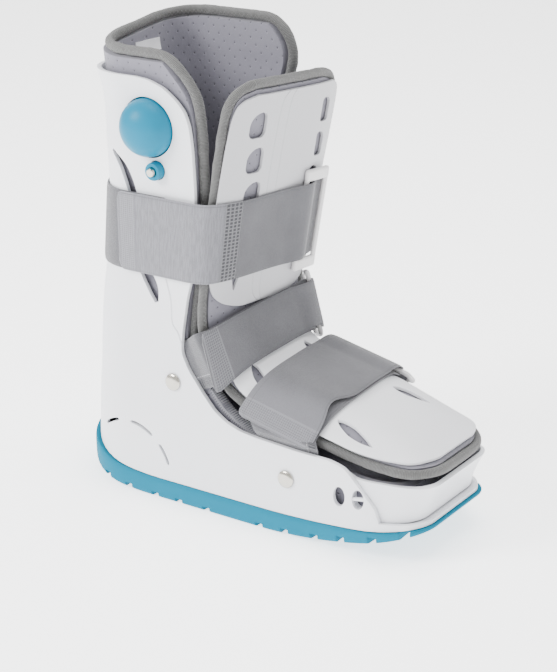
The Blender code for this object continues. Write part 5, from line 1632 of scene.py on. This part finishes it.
def flap_line_points(row, lift):
    """Lower and upper edge point of a strap row, lifted off the flap."""
    across, lower, upper = row
    y = across * PAD_WIDTH / 2
    return flap_point(lower, y, -lift), flap_point(upper, y, -lift)


def finer(table, step):
    """Table of strap rows read at more places across."""
    table = np.array(table)
    count = int(round(abs(table[-1][0] - table[0][0]) / step)) + 1
    at = np.linspace(table[0][0], table[-1][0], count)
    return [tuple(smooth_read(table[:, 0], table, place)) for place in at]


def tail_lines(table, side, over, outside):
    """Strap tail: it lies inside the shell, then comes out over the edge."""
    lines = []
    channel = SHELL_WALL + SOFT_CLEARANCE + STRAP_THICKNESS / 2
    for lower_along, lower_height, upper_along, upper_height in table:
        pair = []
        for along, height in ((lower_along, lower_height), (upper_along, upper_height)):
            z = height * SHELL_HEIGHT
            pair.append(np.array((along * HALF_LENGTH, side * side_wall(z, channel), z)))
        lines.append(tuple(pair))
    lines.append(tuple(np.array((along * HALF_LENGTH, side * outside, height * SHELL_HEIGHT))
                       for along, height in over))
    return lines


# Width of the flap at the straps, as a share of its full width
PAD_WAIST = 0.85


def tape_outside():
    """How far out a strap has to stand to pass outside the flap's edge tape."""
    return PAD_WIDTH / 2 * PAD_WAIST + 2 * PAD_BINDING_RADIUS + 2 * STRAP_THICKNESS


TOE_LOBE = (-0.50, 0.20, 0.018)
TOE_LOBE_LIFT = 0.0022


def lobed(row, lobe):
    """Upper layer row whose front edge draws back near a place across, as a loose strap's does."""
    middle, reach, depth = lobe
    share = np.exp(-((row[0] - middle) / reach) ** 2)
    return (row[0], row[1] - depth * share, row[2]), share


def crossing_strap(name, tail, over, layer, ring_across, rivet, finish, lobe):
    """Strap from its near rivet over the flap, round the far ring and back over itself."""
    low = STRAP_GAP + STRAP_THICKNESS / 2
    high = low + STRAP_THICKNESS + CLEARANCE
    radius = RING_BAR_RADIUS + CLEARANCE + STRAP_THICKNESS / 2
    lower, upper = flap_line_points((ring_across,) + tuple(layer[-1][1:]), low + radius)
    raised = flap_line_points(layer[-1], low + radius)
    along = unit((lower + upper) / 2 - (raised[0] + raised[1]) / 2)
    outwards = unit(np.cross(along, unit(upper - lower)))
    fine = finer(layer, 0.04)
    lines = tail_lines(tail, -1, over, tape_outside())
    lines += [flap_line_points(row, low) for row in fine]
    lines += fold(lower, upper, along, outwards)
    heights = np.interp([row[0] for row in fine], (layer[-3][0], layer[-2][0], layer[-1][0]),
                        (high, low + 1.6 * radius, low + 2 * radius))
    for row, lift in zip(fine[::-1], heights[::-1]):
        drawn, share = lobed(row, lobe)
        loose = lift + share * TOE_LOBE_LIFT * lobe[2] / TOE_LOBE[2]
        lines.append((flap_line_points(drawn, loose)[0], flap_line_points(drawn, lift)[1]))
    lines.append(flap_line_points((layer[0][0] - 0.09, layer[0][1], layer[0][2]), high))
    strap = strap_piece(name, lines[::-1], finish)
    cutter = bore(rivet, RIVET_HOLE, 0.0)
    cutter.data.transform(Matrix.Translation(SHIFT))
    cut_away(strap, [cutter])
    return strap, (lower, upper)


def tab_strap(name, tail, over, far_lower, far_upper, finish):
    """Short strap from a far rivet up to a ring, folded round the ring's far bar."""
    radius = RING_BAR_RADIUS + CLEARANCE + STRAP_THICKNESS / 2
    lines = tail_lines(tail, 1, over, tape_outside() + RING_BAR_RADIUS)
    middle = (far_lower + far_upper) / 2
    start = (lines[-1][0] + lines[-1][1]) / 2
    axis = unit(far_upper - far_lower)
    along = unit(middle - start)
    along = unit(along - axis * np.dot(along, axis))
    outwards = unit(np.cross(along, axis))
    if outwards[1] < 0:
        outwards = -outwards
    lines += fold(far_lower, far_upper, along, outwards)
    back = outwards * radius - along * TAB_REACH
    lines.append((far_lower + back, far_upper + back))
    return strap_piece(name, lines[::-1], finish)


def far_bar(lower, upper, shift):
    """Far bar of a ring: shares of half length, half width and shell height from the near bar."""
    move = np.array((shift[0] * HALF_LENGTH, shift[1] * HALF_WIDTH, shift[2] * SHELL_HEIGHT))
    return lower + move, upper + move


RING_BEND = 2.2


def ring_piece(name, near_lower, near_upper, far_upper, far_lower):
    """Rounded rectangular loop through four corners, its bars longer than the strap is wide."""
    corners = []
    for first, second in ((near_lower, near_upper), (far_lower, far_upper)):
        extra = unit(second - first) * (RING_MARGIN + RING_BAR_RADIUS)
        corners.append((first - extra, second + extra))
    (a, b), (d, c) = corners
    outline = []
    for before, here, after in ((d, a, b), (a, b, c), (b, c, d), (c, d, a)):
        reach = RING_BEND * RING_BAR_RADIUS
        outline += bend(here + unit(before - here) * reach, here, here + unit(after - here) * reach, 6)
    ring = tube_piece(name, np.array(outline), RING_BAR_RADIUS, closed=True)
    return finish_piece(ring, "ring_plastic", 70)


def build_crossing_straps():
    """Ankle and toe straps with their rings and the tabs on the far side."""
    made = {}
    rows = (("ankle", ANKLE_TAIL, ANKLE_OVER, ANKLE_LAYER, ANKLE_RING_ACROSS, ANKLE_RIVET,
             ANKLE_FAR_BAR, ANKLE_TAB_OVER, (0.0, 1.0, 0.0)),
            ("toe", TOE_TAIL, TOE_OVER, TOE_LAYER, TOE_RING_ACROSS, TOE_RIVET,
             TOE_FAR_BAR, TOE_TAB_OVER, TOE_LOBE))
    for word, tail, over, layer, across, rivet, shift, tab_over, lobe in rows:
        strap, (lower, upper) = crossing_strap(word + "_band", tail, over, layer, across, rivet,
                                               word + "_webbing",
                                               lobe)
        far_lower, far_upper = far_bar(lower, upper, shift)
        ring = ring_piece(word + "_loop", lower, upper, far_upper, far_lower)
        tab = tab_strap(word + "_tab", tail, tab_over, far_lower, far_upper, "tab_webbing")
        made[word + "_strap"], made[word + "_ring"], made[word + "_ring_tab"] = strap, ring, tab
    return made


def flap_at_height(height, y, depth):
    """Point of the flap at a height, found by halving the span of its shin part."""
    low, high = 0.0, 0.5
    for _ in range(24):
        middle = (low + high) / 2
        if flap_point(middle, y, depth)[2] > height:
            low = middle
        else:
            high = middle
    return flap_point((low + high) / 2, y, depth)


# Shaft strap beside the flap: how far behind its edge and how far inside the widest place
SHAFT_STRAP_LEAVING = ((0.024, 0.0045), (0.013, 0.0), (0.004, 0.001))
# Where its outer layer comes back to the shell, behind the flap's near edge
SHAFT_STRAP_JOINING = (0.0040, 0.012)
SHAFT_CROSSING_POINTS = 40
SHAFT_PART_POINTS = (120, 160, 24, 60, 90)
POINT_GAP = 0.004


def shaft_strap_path(height):
    """Plan path of the shaft strap at one height, from its inner end round to its outer end."""
    under = CLEARANCE + STRAP_THICKNESS / 2
    over = under + STRAP_THICKNESS + CLEARANCE
    back, half, corner, front = section(height)
    near = half_outline(back, half, corner, front, -under)
    start = SHAFT_STRAP_OVERLAP * HALF_LENGTH
    reach = SHAFT_STRAP_LEAVES * HALF_LENGTH
    inner = [(start, -(half + under))] + [p for p in near if p[0] < start - POINT_GAP][::-1]
    wrap = [(x, -y) for x, y in near if x < reach - 0.006] + [(reach, half + under)]
    edge = flap_at_height(height, PAD_WIDTH / 2, -under)
    side = tape_outside() + SHAFT_STRAP_BULGE
    leaving = [wrap[-1]] + [(edge[0] - behind, side - inside) for behind, inside in SHAFT_STRAP_LEAVING]
    crossing = np.array(SHAFT_STRAP_CROSSING)
    over_flap = [leaving[-1]]
    for share in np.linspace(crossing[0][0], crossing[-1][0], SHAFT_CROSSING_POINTS):
        lift = np.interp(-share, -crossing[:, 0], crossing[:, 1])
        point = flap_at_height(height, share * PAD_WIDTH / 2, -under - lift * RING_BAR_RADIUS)
        over_flap.append((point[0], point[1]))
    last = over_flap[-1]
    outer = half_outline(back, half, corner, front, -over)
    end = SHAFT_STRAP_END * HALF_LENGTH
    joining, joined = SHAFT_STRAP_JOINING
    overlap = [last, (last[0] - joining, -half - under), (last[0] - joined, -half - over),
               (start, -half - over)] + [p for p in outer if end < p[0] < start - POINT_GAP][::-1]
    overlap.append((end, min(outer, key=lambda p: abs(p[0] - end))[1]))
    parts = (inner, wrap, leaving, over_flap, overlap)
    return np.concatenate([resampled(part, count)[:-1] for part, count in zip(parts, SHAFT_PART_POINTS)])


def build_shaft_strap():
    """Shaft strap: one length that goes round the shaft, through its ring and over itself."""
    low = SHAFT_STRAP_LEVEL - SHAFT_STRAP_WIDTH / 2
    high = SHAFT_STRAP_LEVEL + SHAFT_STRAP_WIDTH / 2
    lower = [(x, y, low) for x, y in shaft_strap_path(low)]
    upper = [(x, y, high) for x, y in shaft_strap_path(high)]
    strap = strap_piece("shaft_band", list(zip(lower, upper))[::-1], "shaft_webbing")
    gap = CLEARANCE + RING_BAR_RADIUS
    over = 2 * CLEARANCE + STRAP_THICKNESS + 1.6 * RING_BAR_RADIUS
    near_bar, far_bar_place = SHAFT_RING_ACROSS
    corners = [flap_at_height(height, across * PAD_WIDTH / 2, -lift)
               for height, across, lift in ((low, near_bar, gap), (high, near_bar, gap),
                                            (high, far_bar_place, over), (low, far_bar_place, over))]
    ring = ring_piece("shaft_loop", *corners)
    upper = unit(corners[1] - corners[0]) * (RING_MARGIN + RING_BAR_RADIUS)
    plates = [loop_plate("shaft_loop_top", corners[1] + upper, corners[2] + upper, upper),
              loop_plate("shaft_loop_foot", corners[0] - upper, corners[3] - upper, upper)]
    return strap, ring, plates


LOOP_PLATE_HEIGHT = 0.0085
LOOP_PLATE_SPARE = 0.0036
LOOP_PLATE_ROUND = 0.0017
LOOP_PLATE_DEPTH = 2.1


def loop_plate(name, near_end, far_end, upwards):
    """Wide flat end of the ring that joins its two bars."""
    along = Vector(unit(far_end - near_end))
    out = along.cross(Vector(unit(upwards))).normalized()
    turn = Matrix((along, out.cross(along), out)).transposed().to_4x4()
    length = float(np.linalg.norm(far_end - near_end)) + LOOP_PLATE_SPARE
    bpy.ops.object.select_all(action="DESELECT")
    bpy.ops.mesh.primitive_cube_add(size=1)
    plate = bpy.context.object
    plate.name = name
    plate.data.transform(Matrix.Translation(Vector((near_end + far_end) / 2)) @ turn
                         @ Matrix.Diagonal((length, LOOP_PLATE_HEIGHT,
                                             LOOP_PLATE_DEPTH * RING_BAR_RADIUS, 1)))
    bpy.ops.object.mode_set(mode="EDIT")
    bpy.ops.mesh.select_all(action="SELECT")
    bpy.ops.mesh.bevel(offset=LOOP_PLATE_ROUND, segments=5, affect="EDGES")
    bpy.ops.object.mode_set(mode="OBJECT")
    plate.select_set(False)
    return finish_piece(plate, "ring_plastic", 60)


# Pump, rivets and tag


def spun_piece(name, profile, place, axis):
    """Piece spun from a profile of (distance along the axis, radius) rows."""
    bpy.ops.object.select_all(action="DESELECT")
    mesh = bpy.data.meshes.new(name)
    seat = (Matrix.Translation(Vector(place))
            @ Vector((0, 0, 1)).rotation_difference(Vector(axis)).to_matrix().to_4x4())
    line = [seat @ Vector((radius, 0, distance)) for distance, radius in profile]
    mesh.from_pydata([tuple(point) for point in line], [(i, i + 1) for i in range(len(line) - 1)], [])
    item = bpy.data.objects.new(name, mesh)
    bpy.context.scene.collection.objects.link(item)
    bpy.context.view_layer.objects.active = item
    item.select_set(True)
    bpy.ops.object.mode_set(mode="EDIT")
    bpy.ops.mesh.select_all(action="SELECT")
    bpy.ops.mesh.spin(steps=64, angle=2 * pi, center=tuple(place), axis=tuple(axis))
    bpy.ops.mesh.select_all(action="SELECT")
    bpy.ops.mesh.remove_doubles(threshold=1e-6)
    bpy.ops.mesh.normals_make_consistent(inside=False)
    bpy.ops.object.mode_set(mode="OBJECT")
    item.select_set(False)
    return item


def dome(radius, reach, steps=14, squareness=2.2):
    """Profile rows of a dome: distance from its base and radius."""
    rows = []
    for step in range(steps + 1):
        turn = step / steps * pi / 2
        rows.append((reach * sin(turn), max(0.0, radius * cos(turn) ** (2 / squareness))))
    return rows


SMALL_ROUND = 0.0010
SMALL_CHAMFER = 0.0003
PIN_DISH = 0.0002


def rounded_rim(end, radius):
    """Profile rows of a rounded outer rim."""
    return [(end - SMALL_ROUND, radius), (end - SMALL_CHAMFER, radius - SMALL_CHAMFER),
            (end, radius - SMALL_ROUND)]


def flange_rows(radius):
    """Profile rows of a flange that holds a round piece behind the shell's wall."""
    inside = -SHELL_WALL - 2 * CLEARANCE
    rim = radius + PUMP_FLANGE_RIM
    return [(inside - PUMP_FLANGE, 0.0), (inside - PUMP_FLANGE, rim), (inside, rim), (inside, radius)]


def build_pump():
    """Squeeze bulb, release valve and its push pin."""
    profile = flange_rows(BULB_RADIUS) + dome(BULB_RADIUS, BULB_REACH)
    bulb = spun_piece("pump_bulb_body", profile, *wall_seat(BULB_PLACE))
    finish_piece(bulb, "pump_rubber", 40)
    wall = VALVE_PIN_RADIUS + CLEARANCE
    floor = VALVE_REACH - VALVE_PIN_LENGTH + VALVE_PIN_PROUD - VALVE_TRAVEL - CLEARANCE
    profile = flange_rows(VALVE_RADIUS) + rounded_rim(VALVE_REACH, VALVE_RADIUS)
    profile += [(VALVE_REACH, wall + SMALL_CHAMFER), (VALVE_REACH - SMALL_CHAMFER, wall),
                (floor, wall), (floor, 0.0)]
    valve = spun_piece("valve_seat", profile, *wall_seat(VALVE_PLACE))
    finish_piece(valve, "pump_rubber", 40)
    start = VALVE_REACH + VALVE_PIN_PROUD - VALVE_PIN_LENGTH
    end = VALVE_REACH + VALVE_PIN_PROUD
    profile = [(start, 0.0), (start, VALVE_PIN_RADIUS)] + rounded_rim(end, VALVE_PIN_RADIUS)
    profile += [(end - PIN_DISH, VALVE_PIN_RADIUS * 0.4), (end - PIN_DISH, 0.0)]
    pin = spun_piece("valve_button_pin", profile, *wall_seat(VALVE_PLACE))
    return bulb, valve, finish_piece(pin, "rivet_metal", 40)


def build_rivets():
    """Domed rivets that hold the straps and the ring tabs to the shell."""
    inner = -SHELL_WALL - SOFT_CLEARANCE - STRAP_THICKNESS
    rim = SOFT_CLEARANCE + RIVET_RIM
    profile = [(inner, 0.0), (inner, RIVET_SHANK), (SOFT_CLEARANCE, RIVET_SHANK),
               (SOFT_CLEARANCE, RIVET_RADIUS - SMALL_CHAMFER), (SOFT_CLEARANCE + 0.0002, RIVET_RADIUS)]
    profile += [(distance + rim, radius) for distance, radius in dome(RIVET_RADIUS, RIVET_DOME)]
    made = {}
    for name, place in (("ankle_rivet", ANKLE_RIVET), ("toe_rivet", TOE_RIVET)):
        for word, side in (("near", -1), ("far", 1)):
            rivet = spun_piece(name + "_head_" + word, profile, *wall_seat(place, side))
            made[name + "_" + word] = finish_piece(rivet, "rivet_metal", 50)
    return made


# Tag: share of the shell's height, share of half width to one side, curl and wave
TAG_LEVEL = 1.022
TAG_ASIDE = 0.09
TAG_OFF_WALL = 0.0006
TAG_CURL = 0.0012
TAG_WAVE = 0.0004


def build_tag():
    """Blank cloth tag sewn inside the top of the liner's back."""
    height = SHELL_HEIGHT * TAG_LEVEL
    back = section(height)[0] - liner_inset(height / SHELL_HEIGHT) - LINER_THICKNESS - CLEARANCE
    rows, columns = 9, 25
    grid = np.zeros((rows, columns, 3))
    for row in range(rows):
        for col in range(columns):
            down, across = row / (rows - 1), col / (columns - 1)
            curl = TAG_CURL * down ** 2 + TAG_WAVE * sin(across * 9)
            grid[row, col] = (-back + TAG_OFF_WALL + curl,
                              TAG_ASIDE * HALF_WIDTH + (across - 0.5) * TAG_WIDTH,
                              height + (0.5 - down) * TAG_HEIGHT)
    tag = sheet_piece("inside_tag", grid, TAG_THICKNESS)
    return finish_piece(tag, "tag_cloth", 50)


# Floor, light and camera


VIEW_TURN = 34
VIEW_RISE = 20
VIEW_DISTANCE = 1.2
VIEW_TARGET = Vector((0.00075, 0.0, 0.1156))
LENS = 94.5
FLOOR_REACH = 14.0
FLOOR_GLOW = 2.0


def build_camera():
    """Camera of the reference view."""
    turn, rise = radians(VIEW_TURN), radians(VIEW_RISE)
    back = Vector((sin(turn) * cos(rise), -cos(turn) * cos(rise), sin(rise)))
    bpy.ops.object.camera_add(location=VIEW_TARGET + SHIFT + back * VIEW_DISTANCE,
                              rotation=back.to_track_quat("Z", "Y").to_euler())
    camera = bpy.context.object
    camera.data.sensor_width = 36
    camera.data.lens = LENS
    camera.data.clip_start = 0.05
    camera.data.dof.use_dof = False
    bpy.context.scene.camera = camera


ROOM_LIGHT = 1.15
# Area lights: name, place, size and watts
LIGHTS = (
    ("key_light", (-1.0, -1.3, 1.2), (0.8, 0.8), 52),
    ("side_light", (1.5, -0.3, 0.9), (0.9, 1.2), 3),
    ("top_light", (0.1, 0.4, 1.7), (1.2, 1.2), 27),
)
LIGHT_AIM = Vector((0, 0, 0.13))


def area_light(name, place, size, power):
    """Soft white light that faces the middle of the boot."""
    turn = (Vector(place) - LIGHT_AIM).to_track_quat("Z", "Y").to_euler()
    bpy.ops.object.light_add(type="AREA", location=place, rotation=turn)
    light = bpy.context.object
    light.name = name
    light.data.shape = "RECTANGLE"
    light.data.size, light.data.size_y = size
    light.data.energy = power


def build_light():
    """Large soft lights in a white room."""
    world = bpy.data.worlds.new("room")
    bpy.context.scene.world = world
    world.use_nodes = True
    back = world.node_tree.nodes["Background"]
    back.inputs["Color"].default_value = (1.0, 1.0, 1.0, 1.0)
    back.inputs["Strength"].default_value = ROOM_LIGHT
    for name, place, size, power in LIGHTS:
        area_light(name, place, size, power)


def build_floor():
    """Pale studio floor."""
    bpy.ops.mesh.primitive_plane_add(size=FLOOR_REACH, location=(0, 0, 0))
    floor = bpy.context.object
    floor.name = "floor"
    made = bpy.data.materials.new("floor_paper")
    made.use_nodes = True
    shader = made.node_tree.nodes["Principled BSDF"]
    shader.inputs["Base Color"].default_value = (0.95, 0.955, 0.96, 1)
    shader.inputs["Emission Color"].default_value = (1, 1, 1, 1)
    shader.inputs["Emission Strength"].default_value = FLOOR_GLOW
    shader.inputs["Roughness"].default_value = 0.7
    shader.inputs["Specular IOR Level"].default_value = 0.1
    floor.data.materials.append(made)


# The boot


def stand_for(piece, *nodes):
    """Piece moves with the boot and stands for its nodes."""
    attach(piece, "boot")
    if nodes:
        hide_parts(*nodes)


def main():
    """Build the stage, the finishes and every piece of the boot."""
    bpy.ops.object.select_all(action="DESELECT")
    build_camera()
    build_floor()
    build_light()
    make_plastics()
    make_cloths()
    stand_for(build_sole(), "outsole")
    stand_for(build_shell(), "shell")
    stand_for(build_bumper(), "toe_bumper")
    for bar in build_slot_bars():
        stand_for(bar)
    stand_for(build_side_rib())
    stand_for(build_liner(), "liner")
    stand_for(build_liner_tape(), "liner_binding")
    stand_for(build_overlock())
    pad, tape = build_pad()
    stand_for(pad, "front_pad")
    stand_for(tape, "front_pad_binding")
    stand_for(build_shin_panel(), "shin_panel")
    stand_for(build_instep_panel(), "instep_panel")
    strap, ring, plates = build_shaft_strap()
    stand_for(strap, "shaft_strap")
    stand_for(ring, "shaft_ring")
    for plate in plates:
        stand_for(plate)
    for node, piece in build_crossing_straps().items():
        stand_for(piece, node)
    bulb, valve, pin = build_pump()
    stand_for(bulb, "pump_bulb")
    stand_for(valve, "valve_body")
    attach(pin, "valve_button")
    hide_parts("valve_pin")
    for node, piece in build_rivets().items():
        stand_for(piece, node)
    stand_for(build_tag(), "liner_tag")


main()
